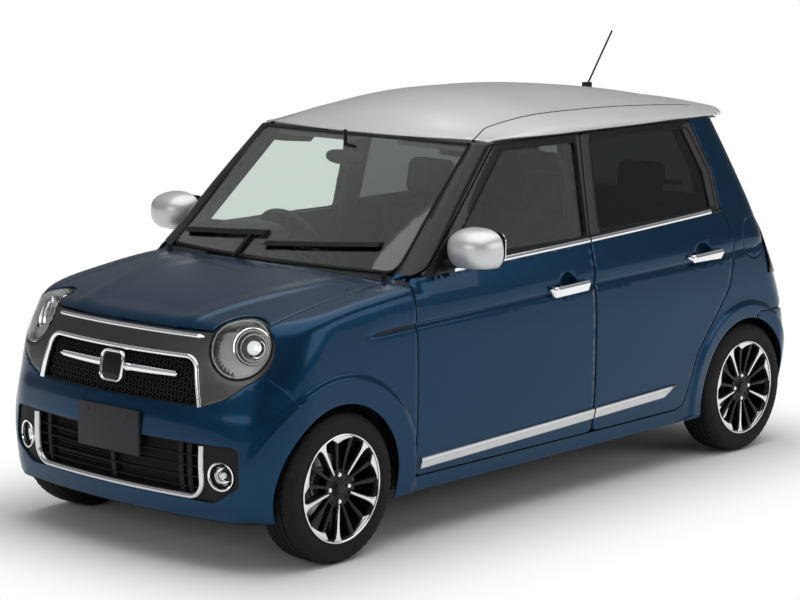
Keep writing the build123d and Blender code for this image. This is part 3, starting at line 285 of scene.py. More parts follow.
def floor_finish():
    """White floor that keeps the car's shadow and turns into the white backdrop away from it."""
    mat, nt, bsdf = shader("studio_white", (0.88, 0.88, 0.88), 0.85)
    far = node_of(nt, "TexCoord").outputs["Object"]
    for operation, by in (("ABSOLUTE", None), ("SUBTRACT", (0.68, 1.50, 0.0)), ("MAXIMUM", (0, 0, 0)),
                          ("LENGTH", None)):
        step = node_of(nt, "VectorMath")
        step.operation = operation
        if by:
            step.inputs[1].default_value = by
        nt.links.new(far, step.inputs[0])
        far = step.outputs["Value" if operation == "LENGTH" else "Vector"]
    reach = node_of(nt, "MapRange", From_Min=0.0, From_Max=0.85)
    reach.interpolation_type = "SMOOTHSTEP"
    path = node_of(nt, "LightPath")
    seen = math(nt, "MAXIMUM", path.outputs["Is Camera Ray"], path.outputs["Is Transmission Ray"])
    seen = math(nt, "MAXIMUM", seen, path.outputs["Is Glossy Ray"])
    share = math(nt, "MULTIPLY", seen, reach.outputs["Result"])
    glow, mix = node_of(nt, "Emission", Color=(1, 1, 1, 1)), node_of(nt, "MixShader")
    out = next(n for n in nt.nodes if n.type == "OUTPUT_MATERIAL")
    wire(nt, (far, reach.inputs["Value"]), (share, mix.inputs["Fac"]), (bsdf.outputs[0], mix.inputs[1]),
         (glow.outputs[0], mix.inputs[2]), (mix.outputs[0], out.inputs["Surface"]))
    return mat


FINISH = {}
# the recolouring slot of each finish
SLOT_OF = {"blue": "body_paint", "nose_grey": "nose_grey", "tyre": "tyre", "cast": "cast", "lens": "lamp_lens",
           "red_lens": "tail_lens", "plate": "plate_grey", "cloth": "seat_cloth", "trim": "dash", "lining": "dash",
           **dict.fromkeys(("gloss_black", "frame_grey", "black", "rubber"), "black_trim"),
           **dict.fromkeys(("silver", "chrome", "satin", "lamp_grey", "mirror_face"), "silver_paint")}


def finishes():
    """Every finish of the car, by plain name."""
    FINISH.update({
        "blue": painted("metallic_blue", (0.0018, 0.034, 0.082), 0.75, 0.27, coat=0.22),
        "silver": painted("roof_silver", (0.66, 0.66, 0.665), 0.6, 0.38, coat=0.3, flake=0.10),
        "nose_grey": painted("nose_gunmetal", (0.090, 0.088, 0.086), 0.8, 0.34, coat=0.15, flake=0.08),
        "gloss_black": painted("pillar_black", (0.008, 0.008, 0.009), 0.0, 0.25, coat=0.30, flake=0.0),
        "frame_grey": moulded("frame_film", (0.045, 0.043, 0.042), 0.38, 800.0, 0.05),
        "black": moulded("moulded_black", (0.010, 0.010, 0.011), 0.55, 700.0, 0.06),
        "rubber": moulded("seal_rubber", (0.012, 0.012, 0.012), 0.7, 500.0, 0.1),
        "tyre": moulded("tyre_rubber", (0.009, 0.009, 0.0095), 0.66, 400.0, 0.12, drift=0.2),
        "dark_steel": moulded("underbody_coat", (0.022, 0.022, 0.024), 0.7, 180.0, 0.35),
        "steel": metal("pipe_steel", (0.42, 0.40, 0.38), 0.42),
        "cast": metal("cast_alloy", (0.36, 0.36, 0.37), 0.55, 220.0, 0.25),
        "disc": metal("turned_disc", (0.55, 0.54, 0.53), 0.28, 700.0, 0.05),
        "chrome": metal("bright_chrome", (0.86, 0.86, 0.87), 0.07, 120.0, 0.006),
        "satin": metal("satin_silver", (0.66, 0.66, 0.67), 0.24, 400.0, 0.02),
        "machined": metal("machined_face", (0.78, 0.78, 0.79), 0.18, 900.0, 0.03),
        "rim_black": painted("rim_black", (0.004, 0.004, 0.0045), 0.0, 0.35, coat=0.15, flake=0.0),
        "glass": glazing("screen_glass", (0.80, 0.86, 0.82)),
        "dark_glass": glazing("privacy_glass", (0.10, 0.11, 0.11)),
        "lens": glazing("lamp_lens", (0.96, 0.97, 0.97), ior=1.14),
        "lamp_grey": metal("lamp_reflector_grey", (0.19, 0.186, 0.18), 0.40),
        "red_lens": glazing("tail_lens", (0.75, 0.02, 0.02), 0.03),
        "plate": moulded("plate_grey", (0.036, 0.035, 0.038), 0.5, 700.0, 0.05),
        "cloth": moulded("seat_cloth", (0.030, 0.030, 0.033), 0.9, 700.0, 0.15),
        "trim": moulded("cabin_trim", (0.022, 0.022, 0.023), 0.6, 600.0, 0.08),
        "lining": moulded("roof_lining", (0.22, 0.215, 0.20), 0.9, 600.0, 0.08),
        "mirror_face": metal("mirror_face", (0.90, 0.91, 0.92), 0.02, 50.0, 0.0),
    })


# ---- the body's surface ------------------------------------------------------------------------
def track(xs, ys):
    """A smooth curve through a table's values."""
    xs, ys = np.array(xs, float), np.array(ys, float)
    slopes = np.gradient(ys, xs)

    def value(x):
        x = np.asarray(x, float)
        i = np.clip(np.searchsorted(xs, x) - 1, 0, len(xs) - 2)
        h = xs[i + 1] - xs[i]
        t = np.clip((x - xs[i]) / h, -0.5, 1.5)
        a, b, ma, mb = ys[i], ys[i + 1], slopes[i] * h, slopes[i + 1] * h
        inner = ((2 * t ** 3 - 3 * t ** 2 + 1) * a + (t ** 3 - 2 * t ** 2 + t) * ma
                 + (-2 * t ** 3 + 3 * t ** 2) * b + (t ** 3 - t ** 2) * mb)
        return np.where(t < 0, a + ma * t, np.where(t > 1, b + mb * (t - 1), inner))

    return value


SIDE_Z = [0.19, 0.39, 0.60, 0.76, 0.90, 1.04, 1.25, 1.453]
half_width = track(SIDE_Z, [0.712, 0.7325, 0.7375, 0.7355, 0.722, 0.699, 0.655, 0.612])
rear_line = track(SIDE_Z, [2.893, 2.929, 2.908, 2.850, 2.786, 2.722, 2.608, 2.488])
rear_corner = track(SIDE_Z, [0.11, 0.12, 0.13, 0.14, 0.14, 0.13, 0.11, 0.09])
NOSE_Z = [0.19, 0.39, 0.60, 0.76, 0.90, 1.04]
nose_line = track(NOSE_Z, [-0.440, -0.464, -0.450, -0.424, -0.366, -0.280])
nose_bow = track(NOSE_Z, [0.080, 0.095, 0.110, 0.130, 0.150, 0.150])
nose_corner = track(NOSE_Z, [0.170, 0.190, 0.200, 0.205, 0.210, 0.220])
SCREEN_Z = [1.0, 1.04, 1.25, 1.453]
screen_line = track(SCREEN_Z, [0.345, 0.395, 0.650, 0.908])
screen_bow = track(SCREEN_Z, [0.100, 0.095, 0.050, 0.006])
hood_line = track([-0.60, -0.47, -0.392, -0.25, -0.06, 0.15, 0.352, 0.60],
                  [0.70, 0.800, 0.868, 0.912, 0.951, 0.982, 1.003, 1.012])


def blend_in(a, b, r, power=2.3):
    """The smaller of two depths, with the edge between them rounded to r."""
    u, v = np.maximum(r - a, 0), np.maximum(r - b, 0)
    return np.where((a < r) | (b < r), r - (u ** power + v ** power) ** (1 / power), np.minimum(a, b))


def bump(d, width):
    """1 at d = 0, falling smoothly to 0 at width."""
    t = np.clip(np.abs(d) / width, 0, 1)
    return (1 - t * t) ** 2


def ramp(t):
    t = np.clip(t, 0, 1)
    return t * t * (3 - 2 * t)


GROOVE = track([0.15, 0.41, 0.77, 1.46, 2.12, 2.66], [0.818, 0.826, 0.835, 0.852, 0.864, 0.886])
BOWLS = [(1.300, 0.866, 0.056), (2.215, 0.891, 0.056)]
FRONT_ARCH = (0.0, 0.280, 0.310, 0.096)    # centre aft, centre z, radius, width of the lip
REAR_ARCH = (2.522, 0.278, 0.305, 0.062)


def side_relief(y, z):
    """How far the +X side stands out of its plain form: groove, arch lips, bowls, and a slight fall towards both ends.
    """
    out = -0.008 * ((y - 1.25) / 1.6) ** 2
    fade = ramp((y - 0.12) / 0.10) * ramp((2.70 - y) / 0.05)
    out = out - 0.0085 * bump(z - GROOVE(y), 0.0125) * fade
    out = out + 0.0045 * ramp((z - GROOVE(y)) / 0.05) * ramp((1.02 - z) / 0.10) * fade * (z > GROOVE(y))
    for cy, cz, cr, band in (FRONT_ARCH, REAR_ARCH):
        d = np.hypot(y - cy, z - cz) - cr
        lip = 0.010 * ramp((band + 0.012 - d) / 0.018) * (0.6 + 0.4 * ramp(d / band))
        out = out + lip * ramp((z - 0.12) / 0.1)
    for cy, cz, cr in BOWLS:
        d = np.hypot(y - cy, z - cz) / cr
        out = out - 0.021 * np.clip(1 - d ** 2.2, 0, 1) ** 0.75
    return out


def nose_relief(x, z):
    """How far the front stands out: the bumper's upper shelf and its corners."""
    ax = np.abs(x)
    shelf = 0.004 * ramp((0.60 - z) / 0.06) * ramp((z - 0.20) / 0.05)
    return shelf * ramp((0.72 - ax) / 0.1)


def hood_height(x, y):
    """Top of the hood and cowl, with two soft ridges and a fall to each side."""
    z = hood_line(y) - 0.030 * (np.abs(x) / 0.62) ** 2.4
    ridge_x = 0.30 + 0.16 * ramp((y + 0.40) / 0.75)
    ridge = 0.007 * ramp((np.abs(x) - ridge_x + 0.10) / 0.10) * (np.abs(x) < ridge_x) + 0.007 * ramp(
        1 - (np.abs(x) - ridge_x) / 0.045) * (np.abs(x) >= ridge_x)
    return z + ridge * ramp((y + 0.39) / 0.10) * ramp((0.33 - y) / 0.15)


ROOF_LINE = track([0.905, 0.96, 1.05, 1.24, 1.64, 2.08, 2.34, 2.50, 2.585, 2.60],
                  [1.453, 1.483, 1.527, 1.580, 1.599, 1.574, 1.543, 1.512, 1.490, 1.470])


def roof_height(x, y):
    """Crowned roof: full height on the centreline, falling over a rail to the drip seam."""
    ax = np.abs(x)
    across = np.where(ax < 0.50, 1 - 0.50 * (ax / 0.50) ** 2.3,
                      0.50 * np.clip(1 - ((ax - 0.50) / 0.118), 0, 1) ** 0.62)
    return DRIP_Z + (ROOF_LINE(y) - DRIP_Z) * across


def body_depth(p):
    """Depth under the body's skin, positive inside, for rows of x, y, z."""
    x, y, z = np.abs(p[:, 0]), p[:, 1] - FRONT_AXLE, p[:, 2]
    side = half_width(z) + side_relief(y, z) - x
    share = (x / half_width(z)) ** 2
    nose = y - (nose_line(z) + nose_bow(z) * share) + nose_relief(x, z)
    screen = (y - (screen_line(z) + screen_bow(z) * share)) * 0.66
    tail = rear_line(z) - 0.04 * share - y
    low = blend_in(side, nose, nose_corner(z))
    low = blend_in(low, hood_height(x, y) - z, 0.034)
    high = blend_in(side, screen, 0.050)
    shell = np.maximum(low, high)
    return blend_in(shell, tail, rear_corner(z), 2.1)


def find_skin(start, toward, field=body_depth, reach=3.2):
    """The first point under the skin along a direction, from outside, for each start point."""
    start = np.asarray(start, float)
    toward = np.broadcast_to(np.asarray(toward, float), start.shape)
    steps, halvings = 110, 22
    found = np.full(len(start), np.nan)
    for k in range(1, steps + 1):
        t = reach * k / steps
        inside = field(start + toward * t) > 0
        found[inside & np.isnan(found)] = t
        if not np.isnan(found).any():
            break
    missing = np.isnan(found)
    found[missing] = reach * 0.5
    lo, hi = found - reach / steps, found
    for _ in range(halvings):
        mid = (lo + hi) / 2
        inside = field(start + toward * mid[:, None]) > 0
        hi = np.where(inside, mid, hi)
        lo = np.where(inside, lo, mid)
    return start + toward * hi[:, None], missing


# ---- panels cut out of the surface ---------------------------------------------------------------
def rounded(points, radii, step=0.012, closed=True):
    """A polyline through corners, each rounded to its radius, with points a step apart."""
    pts = [np.array(p, float) for p in points]
    n = len(pts)
    radii = radii if isinstance(radii, (list, tuple)) else [radii] * n
    out = []
    for i, p in enumerate(pts):
        r = radii[i]
        if r <= 0 or (not closed and i in (0, n - 1)):
            out.append(p)
            continue
        a, b = pts[i - 1] - p, pts[(i + 1) % n] - p
        la, lb = np.linalg.norm(a), np.linalg.norm(b)
        a, b = a / la, b / lb
        angle = np.arccos(np.clip(a @ b, -1, 1))
        if angle > pi - 0.03:
            out.append(p)
            continue
        reach = min(r / tan(angle / 2), la * 0.49, lb * 0.49)
        r = reach * tan(angle / 2)
        bis = (a + b) / np.linalg.norm(a + b)
        centre = p + bis * (r / sin(angle / 2))
        va, vb = p + a * reach - centre, p + b * reach - centre
        a0, a1 = atan2(va[1], va[0]), atan2(vb[1], vb[0])
        sweep = (a1 - a0 + pi) % (2 * pi) - pi
        k = max(2, int(abs(sweep) * r / min(step, r * 0.35)) + 1)
        out += [centre + r * np.array((cos(a0 + sweep * j / k), sin(a0 + sweep * j / k))) for j in range(k + 1)]
    dense = []
    m = len(out)
    for i in range(m if closed else m - 1):
        p, q = out[i], out[(i + 1) % m]
        k = max(1, int(np.linalg.norm(q - p) / step + 0.5))
        dense += [p + (q - p) * j / k for j in range(k)]
    if not closed:
        dense.append(out[-1])
    return np.array(dense)


def grown(loop, amount):
    """A closed loop moved outwards by an amount."""
    loop = np.asarray(loop, float)
    area = 0.5 * np.sum(loop[:, 0] * np.roll(loop[:, 1], -1) - np.roll(loop[:, 0], -1) * loop[:, 1])
    ahead, behind = np.roll(loop, -1, 0) - loop, loop - np.roll(loop, 1, 0)
    ahead /= np.linalg.norm(ahead, axis=1)[:, None] + 1e-12
    behind /= np.linalg.norm(behind, axis=1)[:, None] + 1e-12
    mean = ahead + behind
    mean /= np.linalg.norm(mean, axis=1)[:, None] + 1e-12
    normal = np.stack([mean[:, 1], -mean[:, 0]], 1) * (1 if area > 0 else -1)
    stretch = 1 / np.clip((1 + np.sum(ahead * behind, 1)) / 2, 0.3, 1) ** 0.5
    return loop + normal * (amount * stretch)[:, None]


def anticlockwise(loop):
    area = np.sum(loop[:, 0] * np.roll(loop[:, 1], -1) - np.roll(loop[:, 0], -1) * loop[:, 1])
    return loop if area > 0 else loop[::-1]


def circle(cx, cy, r, n=72):
    a = np.linspace(0, 2 * pi, n, endpoint=False)
    return np.stack([cx + r * np.cos(a), cy + r * np.sin(a)], 1)


def laid_from(start_of, toward, reach=3.2):
    """A function that lays 2-D points on the skin along one direction."""
    def lay(loop, field=body_depth):
        loop = np.asarray(loop, float)
        start = np.stack(start_of(loop[:, 0], loop[:, 1], np.ones(len(loop))), 1)
        return find_skin(start, toward, field, reach)[0]
    return lay


# (aft, z) points onto the +X skin, (x, z) points onto the front and the rear, (x, aft) points from above
from_side = laid_from(lambda aft, z, one: (1.2 * one, aft + FRONT_AXLE, z), (-1, 0, 0), 1.3)
from_front = laid_from(lambda x, z, one: (x, -2.3 * one, z), (0, 1, 0))
from_rear = laid_from(lambda x, z, one: (x, 2.3 * one, z), (0, -1, 0))
from_top = laid_from(lambda x, aft, one: (x, aft + FRONT_AXLE, 2.0 * one), (0, 0, -1), 1.9)


def basis(out):
    """Two axes across a direction."""
    out = Vector(out).normalized()
    up = Vector((0, 0, 1)) if abs(out.z) < 0.9 else Vector((0, 1, 0))
    u = up.cross(out).normalized()
    v = out.cross(u)
    return np.array(u), np.array(v), np.array(out)


def add_object(name, mesh):
    """An object in the scene for a mesh."""
    obj = bpy.data.objects.new(name, mesh)
    bpy.context.collection.objects.link(obj)
    return obj


def opened(mesh):
    """The mesh's faces and points, open for editing."""
    bm = bmesh.new()
    bm.from_mesh(mesh)
    return bm


def written(bm, mesh):
    """Write an edited mesh back."""
    bm.to_mesh(mesh)
    bm.free()


def nearest(points, measure, batch):
    """The least of measure(some points) over all it is measured to, taken in batches."""
    return np.concatenate([measure(points[k:k + batch, None]).min(1) for k in range(0, len(points), batch)])


def panel_points(loops, kept, lines, spacing):
    """Points spread over a panel, clear of its edges, with the points of its features added."""
    lo = np.min([lp.min(0) for lp in loops[:kept]], 0)
    hi = np.max([lp.max(0) for lp in loops[:kept]], 0)
    gx = np.arange(lo[0] + spacing / 2, hi[0], spacing)
    gy = np.arange(lo[1] + spacing / 2, hi[1], spacing * 0.9)
    grid = np.array([(x + (spacing / 2 if j % 2 else 0), y) for j, y in enumerate(gy) for x in gx])
    if lines is not None:
        away = nearest(grid, lambda p: np.linalg.norm(p - lines[None], axis=2), 2000)
        grid = np.concatenate([grid[away > spacing * 0.55], lines])
    a = np.concatenate(loops)[None]
    ab = np.concatenate([np.roll(lp, -1, 0) for lp in loops])[None] - a
    length = np.sum(ab * ab, 2) + 1e-18

    def to_edges(p):
        t = np.clip(np.sum((p - a) * ab, 2) / length, 0, 1)
        return np.linalg.norm(p - a - ab * t[:, :, None], axis=2)

    return grid[nearest(grid, to_edges, 1500) > spacing * 0.32]


def panel(name, keeps, cuts, out, spacing=0.016, extra=(), field=body_depth):
    """A sheet of the skin seen along -out: inside any keep loop, outside all cut loops (all 3-D)."""
    u, v, w = basis(out)
    keeps = keeps if isinstance(keeps, list) else [keeps]
    flat = lambda p: np.stack([np.asarray(p) @ u, np.asarray(p) @ v], 1)
    loops = [anticlockwise(flat(k)) for k in keeps] + [anticlockwise(flat(c)) for c in cuts]
    lines = np.concatenate([flat(e) for e in extra]) if extra else None
    verts, outlines = [], []
    for lp in loops:
        outlines.append(list(range(len(verts), len(verts) + len(lp))))
        verts += [Vector(p) for p in lp]
    verts += [Vector(p) for p in panel_points(loops, len(keeps), lines, spacing)]
    vs, _, fs, _, _, origin = delaunay_2d_cdt(verts, [], outlines, 0, 1e-6)
    kept = [f for f, o in zip(fs, origin) if min(o, default=99) < len(keeps) and max(o) < len(keeps)]
    used = sorted({i for f in kept for i in f})
    index = {i: k for k, i in enumerate(used)}
    pts = np.array([vs[i] for i in used], float)
    centre = np.concatenate(keeps).mean(0)
    start = pts[:, :1] * u + pts[:, 1:2] * v + w * (centre @ w + 0.9)
    skin, lost = find_skin(start, -w, field, 1.8)
    faces = [[index[i] for i in f] for f in kept if not any(lost[index[i]] for i in f)]
    mesh = bpy.data.meshes.new(name)
    mesh.from_pydata([tuple(p) for p in skin], [], faces)
    bm = opened(mesh)
    bmesh.ops.delete(bm, geom=[q for q in bm.verts if not q.link_faces], context="VERTS")
    written(bm, mesh)
    return add_object(name, mesh)


def mirrored(obj, name):
    """A copy of a +X piece on the -X side."""
    mesh = obj.data.copy()
    mesh.transform(Matrix.Scale(-1, 4, (1, 0, 0)))
    mesh.flip_normals()
    twin = add_object(name, mesh)
    for m in obj.modifiers:
        copy_modifier(m, twin)
    return twin


def copy_modifier(m, target):
    new = target.modifiers.new(m.name, m.type)
    for prop in m.bl_rna.properties:
        if not prop.is_readonly and prop.identifier not in ("name", "type"):
            try:
                setattr(new, prop.identifier, getattr(m, prop.identifier))
            except (AttributeError, TypeError):
                pass


def close_middle(obj):
    """Join a half sheet to its mirror image along the centreline."""
    mesh = obj.data
    bm = opened(mesh)
    for q in bm.verts:
        if abs(q.co.x) < 0.0015:
            q.co.x = 0.0
    twin = mesh.copy()
    bm.to_mesh(mesh)
    half = opened(mesh)
    bmesh.ops.scale(half, vec=(-1, 1, 1), verts=half.verts)
    bmesh.ops.reverse_faces(half, faces=half.faces)
    written(half, twin)
    bm.from_mesh(twin)
    bmesh.ops.remove_doubles(bm, verts=[q for q in bm.verts if abs(q.co.x) < 0.0005], dist=0.0006)
    written(bm, mesh)
    bpy.data.meshes.remove(twin)
    return obj


def sheet_metal(obj, thick=0.006, edge=0.0018):
    """Give a sheet its thickness and turn its edges."""
    solid = obj.modifiers.new("thickness", "SOLIDIFY")
    solid.thickness = thick
    solid.offset = -1.0
    solid.use_even_offset = False
    if edge:
        turn = obj.modifiers.new("turned_edge", "BEVEL")
        turn.width = edge
        turn.segments = 2
        turn.limit_method = "ANGLE"
        turn.angle_limit = radians(55)
        turn.harden_normals = False
    for poly in obj.data.polygons:
        poly.use_smooth = True
    return obj


def pick(*objs):
    """Select these pieces alone, the first one active."""
    for other in bpy.context.selected_objects:
        other.select_set(False)
    for obj in objs:
        obj.select_set(True)
    if objs:
        bpy.context.view_layer.objects.active = objs[0]


def applied(obj):
    """Apply every modifier on a piece."""
    pick(obj)
    for m in list(obj.modifiers):
        bpy.ops.object.modifier_apply(modifier=m.name)
    pick()
    return obj


def dress(obj, finish, body="body"):
    """Finish a piece and let it ride on its body."""
    obj.data.materials.clear()
    obj.data.materials.append(FINISH[finish])
    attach(obj, body)
    return obj


def pair(obj, finish, carrier="body"):
    """Dress a +X piece and its twin, both on the body or each on its side's carrier."""
    twin = mirrored(obj, obj.name.replace("_left", "_right"))
    for piece, side in ((obj, "_left"), (twin, "_right")):
        dress(piece, finish, carrier if carrier == "body" else carrier + side)
    return obj, twin


def smooth_shade(obj, angle=35):
    """Smooth shading up to an angle between faces."""
    pick(obj)
    bpy.ops.object.shade_smooth_by_angle(angle=radians(angle))
    pick()
    return obj


# ---- outlines, in (aft, z) for the side, (x, z) for front and rear, (x, aft) for the top ------------
GAP = 0.0026
A_LINE, B_LINE, B_TOP = 0.405, 1.470, 1.503
FRONT_DOOR = rounded([
    (A_LINE, 0.252), (B_LINE - 0.002, 0.252), (B_LINE - 0.002, BELT_Z), (B_TOP - 0.002, 1.447),
    (0.975, 1.447), (0.505, 1.024), (A_LINE, 0.985)], [0.03, 0.03, 0.3, 0.025, 0.04, 0.06, 0.06])
REAR_DOOR = rounded([
    (B_LINE + 0.002, 0.252), (2.085, 0.252), (2.170, 0.480), (2.400, 0.740), (2.445, 0.950), (2.368, 1.085),
    (2.352, 1.230), (2.248, 1.447), (B_TOP + 0.002, 1.447), (B_LINE + 0.002, BELT_Z)],
    [0.03, 0.06, 0.12, 0.2, 0.06, 0.06, 0.2, 0.04, 0.025, 0.3])
FRONT_WINDOW = rounded([(0.800, 1.044), (1.452, 1.044), (1.472, 1.418), (1.018, 1.418), (0.640, 1.070)],
                       [0.06, 0.02, 0.02, 0.04, 0.02])
REAR_WINDOW = rounded([(1.535, 1.062), (2.345, 1.062), (2.330, 1.225), (2.222, 1.418), (1.560, 1.418)],
                      [0.02, 0.025, 0.15, 0.03, 0.02])
belt_line = track([0.40, 0.80, 0.97, 1.50, 2.28, 2.60], [0.992, 1.000, 1.004, 1.020, 1.050, 1.062])
HOOD_X = 0.600
LAMP_AT = Vector((0.530, FRONT_AXLE - 0.300, 0.811))
LAMP_OUT = Vector((sin(radians(26.6)) * cos(radians(17.8)), -cos(radians(26.6)) * cos(radians(17.8)),
                   sin(radians(17.8))))
LAMP_R = 0.120


def arch_loop(arch, grow=0.0, n=120):
    cy, cz, cr, _ = arch
    loop = circle(cy, cz, cr + grow, n)
    loop[:, 1] = np.maximum(loop[:, 1], 0.0)
    return from_side(loop)


def below(loop, line, drop=0.0):
    """Close a side region: the loop's part under a line z(aft)."""
    loop = loop.copy()
    loop[:, 1] = np.minimum(loop[:, 1], line(loop[:, 0]) - drop)
    return loop


def above(loop, line, lift=0.0):
    loop = loop.copy()
    loop[:, 1] = np.maximum(loop[:, 1], line(loop[:, 0]) + lift)
    return loop


def tidy_loop(loop, least=0.0015):
    """Drop points that nearly coincide."""
    keep = [loop[0]]
    for p in loop[1:]:
        if np.linalg.norm(p - keep[-1]) > least:
            keep.append(p)
    if np.linalg.norm(keep[0] - keep[-1]) < least:
        keep.pop()
    return np.array(keep)


def groove_points(y0, y1, step=0.014):
    """Points along the side's groove and the flank over it."""
    ys = np.arange(y0, y1, step)
    return np.concatenate([np.stack([ys, GROOVE(ys) + off], 1)
                           for off in (-0.016, -0.010, -0.004, 0.0, 0.004, 0.010, 0.016, 0.030, 0.046)])


def arch_points(arch, offsets=(0.06, 0.2, 0.45, 0.7, 0.88, 0.95, 1.02, 1.08, 1.15, 1.25)):
    """Points on rings over a wheel arch's lip."""
    cy, cz, cr, band = arch
    loops = [circle(cy, cz, cr + o * band, int(2 * pi * (cr + o * band) / 0.016)) for o in offsets]
    return np.concatenate([loop[loop[:, 1] > 0.2] for loop in loops])


def bowl_points():
    """Points on rings in the bowls behind the door handles."""
    rings = ((0.12, 6), (0.35, 12), (0.6, 20), (0.8, 28), (0.9, 34), (0.96, 40), (1.0, 44), (1.06, 44))
    return np.concatenate([circle(cy, cz, cr * k, n) for cy, cz, cr in BOWLS for k, n in rings])


def inside_loop(points, loop):
    """Which 2-D points lie in a closed loop."""
    x, y = points[:, 0], points[:, 1]
    hit = np.zeros(len(points), bool)
    ax, ay = loop[:, 0], loop[:, 1]
    bx, by = np.roll(ax, -1), np.roll(ay, -1)
    for i in range(len(loop)):
        cross = (ay[i] > y) != (by[i] > y)
        with np.errstate(divide="ignore", invalid="ignore"):
            at = (bx[i] - ax[i]) * (y - ay[i]) / (by[i] - ay[i]) + ax[i]
        hit ^= cross & (x < at)
    return hit


# ---- doors -----------------------------------------------------------------------------------------
def door_skins():
    """The four doors' blue skins, cut under the belt line."""
    marks = np.concatenate([groove_points(0.12, 2.70), bowl_points(), arch_points(REAR_ARCH)])
    for door, loop in (("front", FRONT_DOOR), ("rear", REAR_DOOR)):
        skin_loop = tidy_loop(below(grown(loop, -GAP), belt_line))
        near = marks[inside_loop(marks, grown(skin_loop, -0.006))]
        skin = panel(f"door_skin_{door}_left", from_side(skin_loop), [], (1, 0, 0), 0.018, [from_side(near)])
        pair(sheet_metal(skin), "blue", f"door_{door}")


FENDER_SEAM = np.array([(-0.380, 0.800), (-0.332, 0.751), (-0.243, 0.649), (-0.145, 0.558), (-0.06, 0.48)])
NOSE_ARC = [(0.400, 0.603), (0.455, 0.609), (0.523, 0.634), (0.573, 0.668), (0.617, 0.706), (0.643, 0.741),
            (0.6545, 0.778), (0.648, 0.806), (0.580, 0.858)]
NOSE = rounded(NOSE_ARC + [(-x, z) for x, z in NOSE_ARC[::-1]], [0.02] * 7 + [0.01, 0.0] + [0.0, 0.01] + [0.02] * 7)
GRILLE = rounded([(-0.427, 0.590), (0.427, 0.590), (0.385, 0.775), (-0.385, 0.775)], [0.004, 0.004, 0.06, 0.06])
INTAKE = rounded([(-0.600, 0.474), (0.600, 0.474), (0.606, 0.330), (0.500, 0.262), (-0.500, 0.262),
                  (-0.606, 0.330)], [0.03, 0.03, 0.04, 0.05, 0.05, 0.04])


def densified(line, step=0.012):
    line = np.asarray(line, float)
    out = []
    for a, b in zip(line[:-1], line[1:]):
        k = max(1, int(np.linalg.norm(b - a) / step))
        out += [a + (b - a) * j / k for j in range(k)]
    return np.array(out + [line[-1]])


def chain(*parts):
    """One loop from several runs of 3-D points."""
    return tidy_loop(np.concatenate([np.asarray(p, float) for p in parts]))


def from_lamp(flat):
    """(across, up) points about the headlamp's axis onto the skin."""
    u, v, w = basis(LAMP_OUT)
    flat = np.asarray(flat, float)
    start = np.array(LAMP_AT) + w * 0.6 + flat[:, :1] * u + flat[:, 1:2] * v
    return find_skin(start, -w, reach=1.4)[0]


def lamp_disc(r, drop=0.0):
    """A circle round the headlamp laid on the skin, its centre lowered by drop."""
    return from_lamp(circle(0, -drop, r, 96))


def side_run(points):
    """A run of (aft, z) corners on the +X skin, filled with points."""
    return from_side(densified(points))


def nose_loop(shrink=0.0):
    return from_front(tidy_loop(grown(NOSE, -shrink)))


def make_fender():
    """Front fender of the +X side and its twin."""
    door_edge = side_run([(A_LINE - GAP, 0.190), (A_LINE - GAP, 0.985), (0.425, 0.998), (0.440, 1.000)])
    hood_edge = from_top(densified([(HOOD_X + GAP, 0.440), (HOOD_X + GAP, -0.34)]))
    seam = side_run(FENDER_SEAM)
    keep = chain(door_edge, hood_edge, from_front([(0.56, 0.80)]), seam,
                 side_run([(0.0, 0.40), (0.0, 0.190)]), side_run([(0.05, 0.190), (A_LINE - GAP, 0.190)]))
    marks = np.concatenate([groove_points(0.12, 0.40), arch_points(FRONT_ARCH)])
    marks = marks[(marks[:, 0] < A_LINE - 0.01) & (marks[:, 0] > -0.28) & (marks[:, 1] < 0.92)]
    skin = panel("fender_left", keep, [arch_loop(FRONT_ARCH), lamp_disc(LAMP_R + 0.002),
                                       lamp_disc(LAMP_R + 0.008, 0.012), nose_loop(-0.001)],
                 (0.72, -0.45, 0.50), 0.017, [from_side(marks)])
    sheet_metal(skin)
    pair(skin, "blue")


def make_hood():
    """The hood: one sheet over both ridges."""
    xs = np.linspace(HOOD_X - GAP, -HOOD_X + GAP, 90)
    rear = from_top(np.stack([xs, 0.322 + 0.064 * (xs / HOOD_X) ** 2 - GAP], 1))
    front = from_front(np.stack([-xs, 0.8665 + 0.0 * xs], 1))
    left = from_top(densified([(-HOOD_X + GAP, 0.380), (-HOOD_X + GAP, -0.30)]))
    right = from_top(densified([(HOOD_X - GAP, -0.30), (HOOD_X - GAP, 0.380)]))
    ridge = []
    for off in (-0.09, -0.06, -0.03, -0.01, 0.0, 0.01, 0.025, 0.045):
        ys = np.arange(-0.36, 0.30, 0.016)
        rx = 0.30 + 0.16 * ramp((ys + 0.40) / 0.75) + off
        ridge += [np.stack([rx, ys], 1), np.stack([-rx, ys], 1)]
    ring = [lamp_disc(LAMP_R + 0.007)]
    ring.append(ring[0] * np.array([-1, 1, 1]))
    skin = panel("hood_skin", chain(rear, left, front, right), ring, (0, -0.35, 1), 0.018,
                 [from_top(np.concatenate(ridge))])
    sheet_metal(skin, 0.007, 0.0022)
    dress(skin, "blue", "hood")


